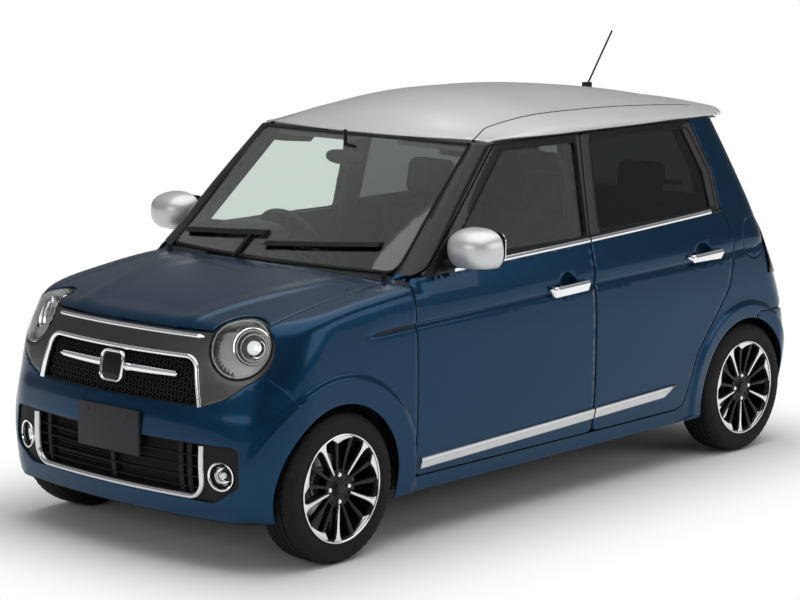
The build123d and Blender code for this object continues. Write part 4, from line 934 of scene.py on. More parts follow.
def make_nose():
    """Gunmetal panel between the lamps."""
    ring = lamp_disc(LAMP_R + 0.002)
    low = lamp_disc(LAMP_R + 0.007, 0.012)
    both_low = [low, low * np.array([-1, 1, 1])]
    both_ring = [ring, ring * np.array([-1, 1, 1])]
    lid = from_front(rounded([(-0.75, 0.8595), (0.75, 0.8595), (0.75, 0.98), (-0.75, 0.98)], 0.0, 0.02))
    skin = panel("nose_skin", [nose_loop(0.001)] + both_low, both_ring + [lid, from_front(GRILLE)],
                 (0, -1, 0.05), 0.014)
    sheet_metal(skin, 0.006, 0.002)
    dress(skin, "nose_grey")


def make_front_bumper():
    bottom = from_front(densified([(0.0, 0.196), (0.56, 0.196)]))
    seam = side_run(FENDER_SEAM)[::-1]
    keep = chain(bottom, side_run([(-0.30, 0.196), (0.0, 0.196)]), side_run([(0.0, 0.22), (0.0, 0.45)]), seam,
                 from_front([(0.53, 0.80), (0.30, 0.70), (0.0, 0.66)]),
                 from_front(densified([(0.0, 0.64), (0.0, 0.21)])))
    marks = arch_points(FRONT_ARCH)
    marks = marks[(marks[:, 0] < -0.15) & (marks[:, 0] > -0.36)]
    skin = panel("bumper_front", keep, [arch_loop(FRONT_ARCH), lamp_disc(LAMP_R + 0.002),
                                        lamp_disc(LAMP_R + 0.010, 0.012), nose_loop(-0.0015), from_front(INTAKE)],
                 (0.42, -0.90, 0.08), 0.016, [from_side(marks)])
    close_middle(skin)
    sheet_metal(skin, 0.006, 0.003)
    dress(skin, "blue")


def make_sill():
    """Sill panel under the doors of each side."""
    behind_fender = rounded([(0.30, 0.10), (A_LINE - 0.001, 0.10), (A_LINE - 0.001, 0.40), (0.30, 0.40)], 0.0)
    skin = panel("sill_left", chain(side_run([(2.15, 0.249), (0.30, 0.249)]), side_run([(0.30, 0.192), (2.16, 0.192)])),
                 [arch_loop(FRONT_ARCH), arch_loop(REAR_ARCH), from_side(grown(FRONT_DOOR, GAP)),
                  from_side(grown(REAR_DOOR, GAP)), from_side(behind_fender)], (1, 0, 0), 0.016)
    pair(sheet_metal(skin, 0.012), "blue")


TAILGATE = rounded([(-0.548, 0.604), (0.548, 0.604), (0.572, 1.040), (0.535, 1.500), (-0.535, 1.500),
                    (-0.572, 1.040)], [0.04, 0.04, 0.3, 0.01, 0.01, 0.3])
REAR_GLASS = rounded([(-0.505, 1.072), (0.505, 1.072), (0.468, 1.405), (-0.468, 1.405)], 0.04)


def tail_lamp_loop(grow=0.0):
    """Upright lamp on the rear corner: inner edge seen from behind, outer edge seen from the side."""
    inner = from_rear(rounded([(0.612, 0.762 - grow), (0.588 - grow, 0.790), (0.578 - grow, 0.90),
                               (0.578 - grow, 1.00), (0.592 - grow, 1.034 + grow)], 0.0, 0.012, closed=False))
    outer = from_side(rounded([(2.705, 1.036 + grow), (2.694 - grow, 1.01), (2.712 - grow, 0.90),
                               (2.755 - grow, 0.80), (2.79, 0.762 - grow)], 0.0, 0.012, closed=False))
    return chain(inner, outer)


def make_quarter():
    """Quarter panel and rear pillar of each side."""
    gate = from_rear(densified([(0.5505, 0.6025), (0.5505, 0.70), (0.572, 0.95), (0.5735, 1.04), (0.566, 1.15),
                                (0.5385, 1.452)]))
    keep = chain(side_run([(2.05, 0.192), (2.04, 0.30), (2.30, 0.70), (2.36, 0.90), (2.30, 1.10), (2.20, 1.4525)]),
                 side_run([(2.24, 1.4525), (2.44, 1.4525)]), gate[::-1],
                 from_rear([(0.60, 0.6025)]), side_run([(2.78, 0.6025), (2.62, 0.6025), (2.595, 0.59),
                                                              (2.595, 0.40), (2.30, 0.192)]))
    marks = np.concatenate([groove_points(2.35, 2.72), arch_points(REAR_ARCH), circle(2.590, 0.925, 0.094, 60)])
    marks = marks[(marks[:, 0] > 2.10) & (marks[:, 0] < 2.80) & (marks[:, 1] < 1.0)]
    skin = panel("quarter_left", keep, [arch_loop(REAR_ARCH), from_side(grown(REAR_DOOR, GAP)),
                                        from_side(circle(2.590, 0.925, 0.0875)), tail_lamp_loop(0.001)],
                 (0.85, 0.50, 0.12), 0.017, [from_side(marks)])
    sheet_metal(skin, 0.012)
    pair(skin, "blue")
    marks = np.concatenate([groove_points(2.50, 2.68)])
    marks = marks[inside_loop(marks, circle(2.590, 0.925, 0.078))]
    lid = panel("fuel_lid_skin", from_side(circle(2.590, 0.925, 0.085)), [], (1, 0, 0), 0.014, [from_side(marks)])
    sheet_metal(lid, 0.004, 0.001)
    dress(lid, "blue", "fuel_lid")
    blank = panel("fuel_lid_blank", from_side(circle(2.590, 0.925, 0.0885)), [], (1, 0, 0), 0.014)
    sheet_metal(blank, 0.012)
    dress(mirrored(blank, "quarter_plain_right"), "blue")
    bpy.data.objects.remove(blank)


def make_rear_bumper():
    keep = chain(from_rear(densified([(0.0, 0.598), (0.60, 0.598)])),
                 side_run([(2.78, 0.598), (2.603, 0.598), (2.603, 0.40), (2.70, 0.196), (2.80, 0.196)]),
                 from_rear(densified([(0.56, 0.196), (0.0, 0.196)])), from_rear(densified([(0.0, 0.21), (0.0, 0.58)])))
    skin = panel("bumper_rear", keep, [arch_loop(REAR_ARCH)], (0.45, 0.88, 0.05), 0.016,
                 [from_side(arch_points(REAR_ARCH)[arch_points(REAR_ARCH)[:, 0] > 2.62])])
    close_middle(skin)
    sheet_metal(skin, 0.010, 0.003)
    dress(skin, "blue")


def make_tailgate():
    """Painted tailgate under its glass, with the plate's recess, and the dark surround of the glass."""
    low = TAILGATE.copy()
    low[:, 1] = np.minimum(low[:, 1], 1.449)
    low = tidy_loop(low)
    recess = from_rear(rounded([(-0.255, 0.690), (0.255, 0.690), (0.245, 0.870), (-0.245, 0.870)], 0.02))
    keep = from_rear(tidy_loop(grown(low, -GAP)))
    skin = panel("tailgate_skin", keep, [recess, from_rear(grown(REAR_GLASS, 0.020))], (0, 1, 0.15), 0.018)
    sheet_metal(skin, 0.016, 0.002)
    dress(skin, "blue", "tailgate")
    band = panel("glass_surround", from_rear(grown(REAR_GLASS, 0.0185)), [from_rear(grown(REAR_GLASS, -0.002))],
                 (0, 1, 0.3), 0.014)
    sheet_metal(band, 0.016, 0.001)
    dress(band, "gloss_black", "tailgate")


def make_door_frames():
    """Black window frames, the grey posts and the garnish behind the rear glass."""
    posts = {"front": rounded([(1.456, 1.028), (1.4665, 1.028), (1.4665, 1.04), (1.4995, 1.440), (1.476, 1.440),
                               (1.457, 1.04)], 0.0),
             "rear": rounded([(1.4735, 1.030), (1.530, 1.032), (1.554, 1.440), (1.5065, 1.440), (1.4735, 1.04)], 0.0),
             "garnish": rounded([(2.308, 1.066), (2.3655, 1.068), (2.3500, 1.228), (2.2450, 1.440), (2.185, 1.425),
                                 (2.288, 1.226)], 0.0)}
    for door, loop, window in (("front", FRONT_DOOR, FRONT_WINDOW), ("rear", REAR_DOOR, REAR_WINDOW)):
        edge = above(grown(loop, -GAP), belt_line, 0.001)
        edge[:, 0] = np.maximum(edge[:, 0], 0.470)
        edge = tidy_loop(edge)
        cuts = [from_side(grown(window, -0.001))]
        cuts += [from_side(posts[k]) for k in posts if (k == "front") == (door == "front")]
        ring = panel(f"window_frame_{door}_left", from_side(edge), cuts, (1, 0, 0), 0.014)
        sheet_metal(ring, 0.020, 0.0015)
        pair(ring, "gloss_black", f"door_{door}")
    for key, loop in posts.items():
        door = "front" if key == "front" else "rear"
        post = panel(f"post_{key}_left", from_side(grown(loop, -0.0008)), [], (1, 0, 0), 0.014)
        sheet_metal(post, 0.018, 0.001)
        pair(post, "frame_grey", f"door_{door}")


SCREEN = rounded([(-0.602, 1.006), (0.602, 1.006), (0.550, 1.444), (-0.550, 1.444)], [0.03, 0.03, 0.025, 0.025])


def make_pillars():
    """Black windshield pillars and the header over the glass."""
    door_edge = side_run([(0.435, 1.000), (0.503, 1.0275), (0.700, 1.2030), (0.973, 1.4497), (1.02, 1.4515)])
    glass_edge = from_front(densified([(0.40, 1.449), (0.553, 1.449), (0.6055, 1.006), (0.6055, 0.995)]))
    keep = chain(door_edge, from_front([(0.58, 1.4515), (0.30, 1.4515), (0.20, 1.4515)]), glass_edge)
    pillar = panel("pillar_left", keep, [from_front(SCREEN)], (0.72, -0.62, 0.35), 0.014)
    sheet_metal(pillar, 0.012, 0.0015)
    pair(pillar, "gloss_black")


def roof_depth(p):
    x, y, z = np.abs(p[:, 0]), p[:, 1] - FRONT_AXLE, p[:, 2]
    return roof_height(x, y) - z


ROOF_EDGE_X = track([0.89, 1.2, 1.6, 2.1, 2.48, 2.60], [0.600, 0.6145, 0.6165, 0.613, 0.598, 0.575])


def roof_outline():
    ys = np.linspace(0.955, 2.50, 110)
    right = np.stack([ROOF_EDGE_X(ys), ys], 1)
    xs = np.linspace(0.595, -0.595, 90)
    rear = np.stack([xs, 2.580 - 0.085 * (np.abs(xs) / 0.595) ** 8], 1)
    left = right[::-1] * np.array([-1, 1])
    front = np.stack([-xs, 0.905 + 0.045 * (np.abs(xs) / 0.60) ** 3], 1)
    return tidy_loop(np.concatenate([right, rear, left, front]))


def make_roof():
    """Silver roof over the drip seam, with its two pressed rails and the seam ahead of the tail."""
    loop = roof_outline()
    place = lambda q: np.stack([q[:, 0], q[:, 1] + FRONT_AXLE, roof_height(np.abs(q[:, 0]), q[:, 1])], 1)
    ys = np.arange(0.97, 2.50, 0.016)
    rows = []
    for off in (-0.012, -0.006, 0.0, 0.006, 0.012, 0.03, 0.055, 0.075, 0.09, 0.10):
        rx = np.minimum(0.5 + off, ROOF_EDGE_X(ys) - 0.008)
        rows += [np.stack([rx, ys], 1), np.stack([-rx, ys], 1)]
    extra = np.concatenate(rows)
    split = 2.452
    for name, keep_y, body in (("roof_skin", (0.0, split - 0.002), "body"),
                               ("spoiler_skin", (split + 0.003, 3.0), "tailgate")):
        part = loop.copy()
        part[:, 1] = np.clip(part[:, 1], *keep_y)
        part = tidy_loop(part)
        closing = []
        for a, b in zip(part, np.roll(part, -1, 0)):
            k = max(1, int(np.linalg.norm(b - a) / 0.014))
            closing += [a + (b - a) * j / k for j in range(k)]
        part = np.array(closing)
        near = extra[inside_loop(extra, grown(part, -0.004))]
        skin = panel(name, place(part), [], (0, 0, 1), 0.022, [place(near)], roof_depth)
        sheet_metal(skin, 0.012, 0.003)
        dress(skin, "silver", body)


CABIN_TRIM_Z = 0.995       # above this the doors' and frames' own faces are trim


# ---- what lies under the skins -----------------------------------------------------------------------
def depth_slope(p, field=body_depth):
    """Unit direction into the body at each point."""
    e = 0.0015
    g = np.stack([field(p + d) - field(p - d) for d in np.eye(3) * e], 1)
    return g / (np.linalg.norm(g, axis=1)[:, None] + 1e-9)


def shell_under(node, least, outer, inner, split=0.040, field=body_depth):
    """A copy of a body part, its outside sunk under its skin, with trim on its cabin side."""
    mesh = frame["nodes"][node].data.copy()
    obj = add_object(f"{node}_shell", mesh)
    bm = opened(mesh)
    bmesh.ops.remove_doubles(bm, verts=bm.verts, dist=0.00002)
    bmesh.ops.dissolve_limit(bm, angle_limit=radians(0.5), verts=bm.verts, edges=bm.edges)
    bmesh.ops.triangulate(bm, faces=bm.faces)
    for _ in range(3):
        long_edges = [e for e in bm.edges if e.calc_length() > 0.09]
        if not long_edges:
            break
        bmesh.ops.subdivide_edges(bm, edges=long_edges, cuts=1)
        bmesh.ops.triangulate(bm, faces=bm.faces)
    bm.verts.ensure_lookup_table()
    co = np.array([v.co for v in bm.verts], float)
    depth = field(co)
    for _ in range(3):
        co = co + depth_slope(co, field) * np.maximum(least - depth, 0)[:, None]
        depth = field(co)
    for v, p in zip(bm.verts, co):
        v.co = p
    for f in bm.faces:
        f.smooth = False
        high = node != "hood" and f.calc_center_median().z > CABIN_TRIM_Z
        f.material_index = 1 if high or np.mean([depth[v.index] for v in f.verts]) > split else 0
    mesh.materials.clear()
    mesh.materials.append(FINISH[outer])
    mesh.materials.append(FINISH[inner])
    written(bm, mesh)
    smooth_shade(obj, 30)
    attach(obj, node if node in frame["bodies"] else "body")
    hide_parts(node)


def understructure():
    """The body parts under their skins."""
    for side in ("left", "right"):
        for door in ("front", "rear"):
            shell_under(f"door_{door}_{side}", 0.017, "blue", "trim")
    shell_under("side_frames", 0.010, "blue", "trim")
    shell_under("front_fenders", 0.005, "dark_steel", "dark_steel")
    shell_under("front_bumper", 0.005, "black", "black")
    shell_under("rear_bumper", 0.009, "black", "black")
    shell_under("nose_panel", 0.005, "black", "black")
    shell_under("hood", 0.006, "blue", "dark_steel", 0.020)
    shell_under("tailgate", 0.015, "blue", "trim")
    shell_under("fuel_lid", 0.0035, "blue", "black")
    shell_under("roof_panel", 0.016, "lining", "lining", 0.020, roof_depth)


# ---- bars laid on the surface: bright trim, slats, seals -------------------------------------------------
def solid_of(name, verts, faces):
    """A closed piece from points and faces, its faces turned outwards."""
    mesh = bpy.data.meshes.new(name)
    mesh.from_pydata([tuple(v) for v in verts], [], [tuple(f) for f in faces])
    bm = opened(mesh)
    bmesh.ops.remove_doubles(bm, verts=bm.verts, dist=0.00002)
    bmesh.ops.recalc_face_normals(bm, faces=bm.faces)
    written(bm, mesh)
    return add_object(name, mesh)


def through_rings(name, rings, angle, closed=False):
    """A piece through rings of points (ring, point, xyz); its ends are filled unless it closes on itself."""
    n, m = rings.shape[:2]
    faces = [(i * m + k, i * m + (k + 1) % m, (i + 1) % n * m + (k + 1) % m, (i + 1) % n * m + k)
             for i in range(n if closed else n - 1) for k in range(m)]
    if not closed:
        faces += [tuple(range(m)), tuple(range((n - 1) * m, n * m))]
    return smooth_shade(solid_of(name, rings.reshape(-1, 3), faces), angle)


def slab(name, front, rear):
    """A closed piece between two like outlines."""
    n = len(front)
    faces = [tuple(range(n)), tuple(range(2 * n - 1, n - 1, -1))]
    faces += [(i, i + n, (i + 1) % n + n, (i + 1) % n) for i in range(n)]
    return solid_of(name, np.concatenate([front, rear]), faces)


def laid_bar(name, line, profile, place, closed=False, taper=0.0, field=body_depth, angle=40):
    """A bar on the skin along a 2-D line; its profile is (across, outwards) points."""
    line = np.asarray(line, float)
    tangent = np.roll(line, -1, 0) - np.roll(line, 1, 0) if closed else np.gradient(line, axis=0)
    tangent /= np.linalg.norm(tangent, axis=1)[:, None] + 1e-12
    across = np.stack([-tangent[:, 1], tangent[:, 0]], 1)
    n = len(line)
    scale = np.ones(n)
    if taper:
        s = np.concatenate([[0], np.cumsum(np.linalg.norm(np.diff(line, axis=0), axis=1))])
        scale = np.clip(np.minimum(s, s[-1] - s) / taper, 0.04, 1) ** 0.6
    flat = np.concatenate([line + across * (o * scale)[:, None] for o, _ in profile])
    lift = np.concatenate([h * scale if h > 0 else np.full(n, h) for _, h in profile])
    pts = place(flat)
    pts = pts - depth_slope(pts, field) * lift[:, None]
    return through_rings(name, pts.reshape(len(profile), n, 3).transpose(1, 0, 2), angle, closed)


def straight_bar(name, start, end, n, profile, place, **options):
    """A bar laid along a straight 2-D line of n points."""
    return laid_bar(name, np.linspace(start, end, n), profile, place, **options)


def raised(flat, out, place):
    """2-D points laid on the skin and lifted off it."""
    pts = place(flat)
    return pts - depth_slope(pts) * out


def bar_profile(half, out, base=-0.001, r=0.002, n=4):
    """Rectangular profile with its outer corners rounded."""
    a = np.linspace(0, pi / 2, n + 1)
    right = [(half - r + r * sin(t), out - r + r * cos(t)) for t in a]
    left = [(-x, y) for x, y in right[::-1]]
    return [(-half, base)] + left + right + [(half, base)]


def crown_profile(half, out, base=-0.001, n=8):
    """Half-round profile."""
    a = np.linspace(pi, 0, n + 1)
    return [(half * cos(t), base + (out - base) * sin(t) ** 0.8 if 0 < i < n else base) for i, t in enumerate(a)]


def belt_and_sill_strips():
    """Bright strip and seal along each door's belt, satin strip low on each door."""
    belt = track([0.60, 0.97, 1.50, 2.28, 2.36], [1.004, 1.0145, 1.0305, 1.0605, 1.064])
    for door, y0, y1, seal_y1 in (("front", 0.640, 1.4655, 1.4655), ("rear", 1.4745, 2.300, 2.345)):
        ys = np.linspace(y0, y1, 60)
        pair(laid_bar(f"belt_strip_{door}_left", np.stack([ys, belt(ys)], 1), crown_profile(0.0105, 0.0060),
                      from_side), "chrome", f"door_{door}")
        ys = np.linspace(y0, seal_y1, 60)
        pair(laid_bar(f"belt_seal_{door}_left", np.stack([ys, belt(ys) + 0.0135], 1),
                      bar_profile(0.0045, 0.0035, -0.004, 0.0015), from_side), "rubber", f"door_{door}")
    section = ((-1.0, -0.001), (-1.0, 0.004), (-0.85, 0.0065), (0.30, 0.0095), (0.42, 0.0110), (0.86, 0.0100),
               (1.0, 0.0075), (1.0, -0.001))
    for door, y0, y1 in (("front", 0.432, B_LINE - 0.0045), ("rear", B_LINE + 0.0045, 2.020)):
        ys = np.linspace(y0, y1, 70)
        half = 0.022 * (np.clip((y1 - ys) / 0.075, 0.10, 1) if door == "rear" else np.ones(70))
        low = 0.277 + (ys - 0.430) * (0.322 - 0.277) / (2.022 - 0.430)
        mid = low + 0.022 + (0.022 - half) * 0.9
        rings = np.stack([raised(np.stack([ys, mid + half * share], 1), out, from_side) for share, out in section], 1)
        pair(through_rings(f"sill_strip_{door}_left", rings, 12), "satin", f"door_{door}")


def nose_brightwork():
    """Hood strip, the grille's hoop and its two wings, and the lower intake's hoop."""
    xs = np.linspace(-0.393, 0.393, 80)
    dress(laid_bar("hood_strip", np.stack([xs, 0.8425 + 0.003 * (1 - (xs / 0.39) ** 2)], 1),
                   crown_profile(0.0075, 0.0085), from_front, taper=0.02), "chrome")
    for name, x0, z0, x1, z1, r, profile, finish in (
            ("grille_hoop", 0.4285, 0.601, 0.389, 0.7725, 0.058, crown_profile(0.0100, 0.012, -0.004), "chrome"),
            ("intake_hoop", 0.4485, 0.4665, 0.4485, 0.2745, 0.062, crown_profile(0.0115, 0.008, -0.010), "satin")):
        line = rounded([(-x0, z0), (-x1, z1), (x1, z1), (x0, z0)], [0, r, r, 0], 0.010, closed=False)
        dress(laid_bar(name, line, profile, from_front), finish)
    along = np.linspace(0, 1, 30)
    mid, half = 0.7045 + 0.0012 * along, 0.0128 - 0.0025 * along ** 2
    half[-1] *= 0.35
    section = ((-1, -0.012), (-1, -0.002), (-0.55, 0.004), (0.1, 0.007), (0.6, 0.004), (1, -0.002), (1, -0.012))
    for side, s in (("right", -1), ("left", 1)):
        xs = np.linspace(0.052, 0.316, 30) * s
        rings = np.stack([raised(np.stack([xs, mid + half * share], 1), out, from_front) for share, out in section], 1)
        dress(through_rings(f"grille_bar_{side}", rings, 30), "chrome")


def dark_plate(name, outline, depth):
    """A plate set in behind an opening of the nose."""
    plate = panel(name, from_front(outline), [], (0, -1, 0), 0.03, field=lambda p: body_depth(p) - depth)
    dress(sheet_metal(plate, 0.004, 0), "rubber")


def honeycomb():
    """The upper grille's mesh, set in behind the hoop, with a dark plate behind it."""
    pitch, wall = 0.0235, 0.0036
    inner = grown(GRILLE, -0.012)
    shrink = 1 - wall / pitch * 2.6
    corners = [(pitch / 2 * 1.155 * cos(k * pi / 3) * 0.98, pitch / 2 * sin(k * pi / 3) * 0.87) for k in range(6)]
    verts, faces, index = [], [], {}

    def corner(x, z):
        key = (round(x, 5), round(z, 5))
        if key not in index:
            index[key] = len(verts)
            verts.append((x, z))
        return index[key]

    for j, z in enumerate(np.arange(0.600, 0.765, pitch * 0.75)):
        for x in np.arange(-0.43 + (pitch * 0.75 if j % 2 else 0), 0.43, pitch * 1.5):
            if not inside_loop(np.array([(x, z)]), inner)[0]:
                continue
            base = [corner(x + a, z + b) for a, b in corners]
            hole = [len(verts) + k for k in range(6)]
            verts.extend((x + a * shrink, z + b * shrink) for a, b in corners)
            faces += [(base[k], base[(k + 1) % 6], hole[(k + 1) % 6], hole[k]) for k in range(6)]
    obj = solid_of("grille_honeycomb", raised(np.array(verts), -0.014, from_front), faces)
    solid = obj.modifiers.new("depth", "SOLIDIFY")
    solid.thickness, solid.offset = 0.010, -1.0
    if sum(p.normal.y for p in obj.data.polygons) > 0:
        obj.data.flip_normals()
    dress(obj, "black")
    dark_plate("grille_backing", grown(GRILLE, 0.008), 0.034)
    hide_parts("grilles")


def lower_intake():
    """Black surround of the fog lamps, slats, fins, posts and a dark plate behind them."""
    inner = rounded([(-0.440, 0.500), (0.440, 0.500), (0.440, 0.283), (-0.440, 0.283)], [0, 0, 0.055, 0.055])
    holes = [from_front(circle(s * 0.531, 0.363, 0.0545)) for s in (-1, 1)]
    mask = panel("intake_surround", from_front(grown(INTAKE, 0.004)), [from_front(inner)] + holes, (0, -1, 0.0),
                 0.014, field=lambda p: body_depth(p) - 0.009)
    dress(sheet_metal(mask, 0.010, 0.001), "black")
    dark_plate("intake_backing", grown(INTAKE, 0.010), 0.045)
    slat = [(-0.003, -0.030), (-0.003, -0.016), (0.0, -0.0135), (0.003, -0.016), (0.003, -0.030)]
    fin = [(-0.0016, -0.040), (-0.0016, -0.033), (0.0016, -0.033), (0.0016, -0.040)]
    post = bar_profile(0.011, -0.017, -0.034, 0.002)
    bars = [("intake_slat", (-0.437, z), (0.437, z), 50, slat) for z in (0.305, 0.345, 0.385, 0.425)]
    bars += [("cooler_fin", (-0.365, z), (-0.03, z), 20, fin) for z in np.arange(0.297, 0.46, 0.0115)]
    bars += [("intake_post", (x, 0.284), (x, 0.470), 20, post) for x in (-0.385, 0.0, 0.345, 0.385)]
    count = dict.fromkeys(("intake_slat", "cooler_fin", "intake_post"), 0)
    for kind, *rest in bars:
        dress(straight_bar(f"{kind}_{count[kind]}", *rest, from_front), "black")
        count[kind] += 1


def turned(name, profile, n=48, angle=30, at=None):
    """A piece of revolution about local Z from (r, z) points, by spinning the profile, put in its place."""
    bm = bmesh.new()
    vs = [bm.verts.new((r, 0, z)) for r, z in profile]
    es = [bm.edges.new((a, b)) for a, b in zip(vs[:-1], vs[1:])]
    bmesh.ops.spin(bm, geom=vs + es, cent=(0, 0, 0), axis=(0, 0, 1), angle=2 * pi, steps=n, use_merge=True)
    bmesh.ops.remove_doubles(bm, verts=bm.verts, dist=0.00002)
    bmesh.ops.recalc_face_normals(bm, faces=bm.faces)
    mesh = bpy.data.meshes.new(name)
    written(bm, mesh)
    obj = smooth_shade(add_object(name, mesh), angle)
    if at is not None:
        mesh.transform(at)
    return obj


def aimed(place, out):
    """Matrix that takes local Z to a direction and the origin to a place."""
    u, v, w = basis(out)
    m = Matrix((tuple(u) + (0,), tuple(v) + (0,), tuple(w) + (0,), (0, 0, 0, 1))).transposed()
    return Matrix.Translation(Vector(place)) @ m


def headlamps():
    """Round lamps: clear lens over a grey plate with its bowl, collar, ball and teeth."""
    u, v, w = basis(LAMP_OUT)
    ring = circle(0, 0, 1.0, 96)
    for name, r, section, finish in (("lamp_gap_left", 0.1185, (0.0035, -0.003, -0.020, 0.001), "rubber"),
                                     ("lamp_bezel_left", 0.1100, (0.0030, -0.004, -0.026, 0.001), "lamp_grey")):
        pair(laid_bar(name, ring * r, bar_profile(*section), from_lamp, True), finish)
    lens = sheet_metal(panel("lamp_lens_left", from_lamp(ring * 0.1165), [], LAMP_OUT, 0.012), 0.0025, 0.0)
    pair(lens, "lens")
    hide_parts("headlamps")
    across, up, grow = 0.037, 0.006, 1.2
    plate = panel("lamp_plate_left", from_lamp(ring * 0.109), [from_lamp(circle(across, up, 0.0675, 60))], LAMP_OUT,
                  0.010, field=lambda p: body_depth(p) - 0.030)
    pair(sheet_metal(plate, 0.003, 0.0), "lamp_grey")
    centre = aimed(from_lamp([(0, 0)])[0] - w * 0.034 + u * across + v * up, w)
    bowl = [(0.0585, 0.004), (0.056, 0.004), (0.054, -0.004), (0.048, -0.020), (0.038, -0.034), (0.026, -0.042),
            (0.0, -0.045)]
    steps = [(0.062 - 0.012 * k, -0.006 - 0.014 * k) for k in range(2)]
    for name, profile, n, finish in (
            ("lamp_bowl_left", [(grow * r, grow * h) for r, h in bowl], 48, "chrome"),
            *((f"lamp_step_{k}_left", [(r, h), (r + 0.001, h + 0.004), (r - 0.004, h + 0.004), (r - 0.006, h - 0.003)],
               48, "lamp_grey") for k, (r, h) in enumerate(steps)),
            ("lamp_ball_left", [(0.0, 0.006), (0.012, 0.004), (0.020, -0.002), (0.0245, -0.012), (0.026, -0.024),
                                (0.026, -0.040)], 40, "lens"),
            ("lamp_collar_left", [(0.0265, -0.044), (0.0265, -0.018), (0.0285, -0.016), (0.0305, -0.020),
                                  (0.0305, -0.044)], 40, "lamp_grey")):
        pair(turned(name, profile, n, at=centre), finish)
    teeth = []
    for a in np.linspace(radians(110), radians(250), 15):
        line = np.array([(r * cos(a), r * sin(a)) for r in (0.1065, 0.100, 0.096)])
        teeth.append(laid_bar("tooth", line, bar_profile(0.0028, -0.022, -0.034, 0.001), from_lamp))
    pair(joined("lamp_teeth_left", teeth), "lamp_grey")


def joined(name, objs):
    """Several pieces made one."""
    pick(*objs)
    if len(objs) > 1:
        bpy.ops.object.join()
    objs[0].name = name
    objs[0].select_set(False)
    return objs[0]


def fog_lamps():
    """Small round lamps in the bumper: ring, tunnel, dish, bulb and glass."""
    for side, s in (("left", 1), ("right", -1)):
        out = Vector((s * 0.28, -0.96, 0.0)).normalized()
        at = aimed(from_front([(s * 0.531, 0.363)])[0] - np.array(out) * 0.012, out)
        for key, profile, n, finish in (
                ("ring", [(0.0540, -0.016), (0.0540, 0.004), (0.0525, 0.0075), (0.0490, 0.008), (0.0455, 0.005),
                          (0.0445, -0.002), (0.0435, -0.016)], 56, "chrome"),
                ("tunnel", [(0.0440, -0.001), (0.0400, -0.012), (0.0360, -0.014), (0.0355, -0.022)], 48, "black"),
                ("dish", [(0.0355, -0.012), (0.033, -0.020), (0.026, -0.032), (0.014, -0.040), (0.0, -0.042)], 48,
                 "chrome"),
                ("bulb", [(0.0, -0.010), (0.008, -0.012), (0.011, -0.018), (0.011, -0.036)], 24, "satin"),
                ("glass", [(0.0, -0.006), (0.018, -0.0068), (0.030, -0.009), (0.0358, -0.012), (0.0358, -0.0138),
                           (0.030, -0.011), (0.018, -0.0088), (0.0, -0.008)], 40, "lens")):
            dress(turned(f"fog_{key}_{side}", profile, n, at=at), finish)
    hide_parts("fog_lamps")


def block(name, lo, hi, edge):
    """A bevelled box by primitive and edit-mode bevel, in place."""
    pick()
    bpy.ops.mesh.primitive_cube_add(size=1.0, location=[(a + b) / 2 for a, b in zip(lo, hi)])
    obj = bpy.context.object
    obj.name = obj.data.name = name
    obj.scale = [b - a for a, b in zip(lo, hi)]
    bpy.ops.object.transform_apply(location=False, rotation=False, scale=True)
    bpy.ops.object.mode_set(mode="EDIT")
    bpy.ops.mesh.select_all(action="SELECT")
    bpy.ops.mesh.bevel(offset=edge, segments=3, profile=0.5)
    bpy.ops.object.mode_set(mode="OBJECT")
    bpy.ops.object.transform_apply(location=True, rotation=True, scale=True)
    return smooth_shade(obj, 35)


def front_plate():
    """The blank plate on its carrier, just ahead of the bumper's skin."""
    lo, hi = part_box("front_plate")
    y = float(from_front([(0.0, (lo.z + hi.z) / 2)])[0][1]) - 0.007
    plate = dress(block("plate_front", (lo.x, y, lo.z), (hi.x, y + 0.016, hi.z), 0.004), "plate")
    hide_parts("front_plate")
    for side, s in (("right", -1), ("left", 1)):
        dress(turned(f"plate_bolt_{side}", [(0.0, 0.003), (0.004, 0.0028), (0.0065, 0.0015), (0.0070, -0.002)], 24,
                     at=aimed((s * 0.105, y, hi.z - 0.025), (0, -1, 0))), "plate")


def badge():
    """A plain rounded boss where the bars meet: a bright rim round a black field."""
    line = rounded([(-0.0545, 0.6475), (0.0545, 0.6475), (0.0575, 0.7515), (-0.0575, 0.7515)], 0.024, 0.006)
    rim = laid_bar("nose_boss", line, crown_profile(0.0075, 0.018, -0.012), from_front, True)
    dress(rim, "chrome")
    field = panel("nose_boss_field", from_front(line), [], (0, -1, 0.1), 0.012, field=lambda p: body_depth(p) + 0.009)
    sheet_metal(field, 0.008, 0.0)
    dress(field, "gloss_black")


# ---- wheels ---------------------------------------------------------------------------------------------
HALF_TRACK = 0.6525
SPOKE_CLOCK = -30.0


def turned_x(name, profile, n=96, angle=30):
    """A piece of revolution about X from (x, r) points."""
    obj = turned(name, [(r, x) for x, r in profile], n, angle,
                 Matrix(((0, 0, 1, 0), (0, 1, 0, 0), (-1, 0, 0, 0), (0, 0, 0, 1))))
    bm = opened(obj.data)
    bmesh.ops.recalc_face_normals(bm, faces=bm.faces)
    written(bm, obj.data)
    return obj


def sawn(name, outline_yz, face, back, bevel=0.0015):
    """A flat piece cut to an outline seen from the side, its face at x = face(y, z)."""
    flat = np.asarray(outline_yz, float)
    front, rear = (np.stack([at(flat), flat[:, 0], flat[:, 1]], 1) for at in (face, back))
    obj = slab(name, front, rear)
    bev = obj.modifiers.new("edge", "BEVEL")
    bev.width, bev.segments, bev.limit_method, bev.angle_limit = bevel, 2, "ANGLE", radians(50)
    return smooth_shade(applied(obj), 40)


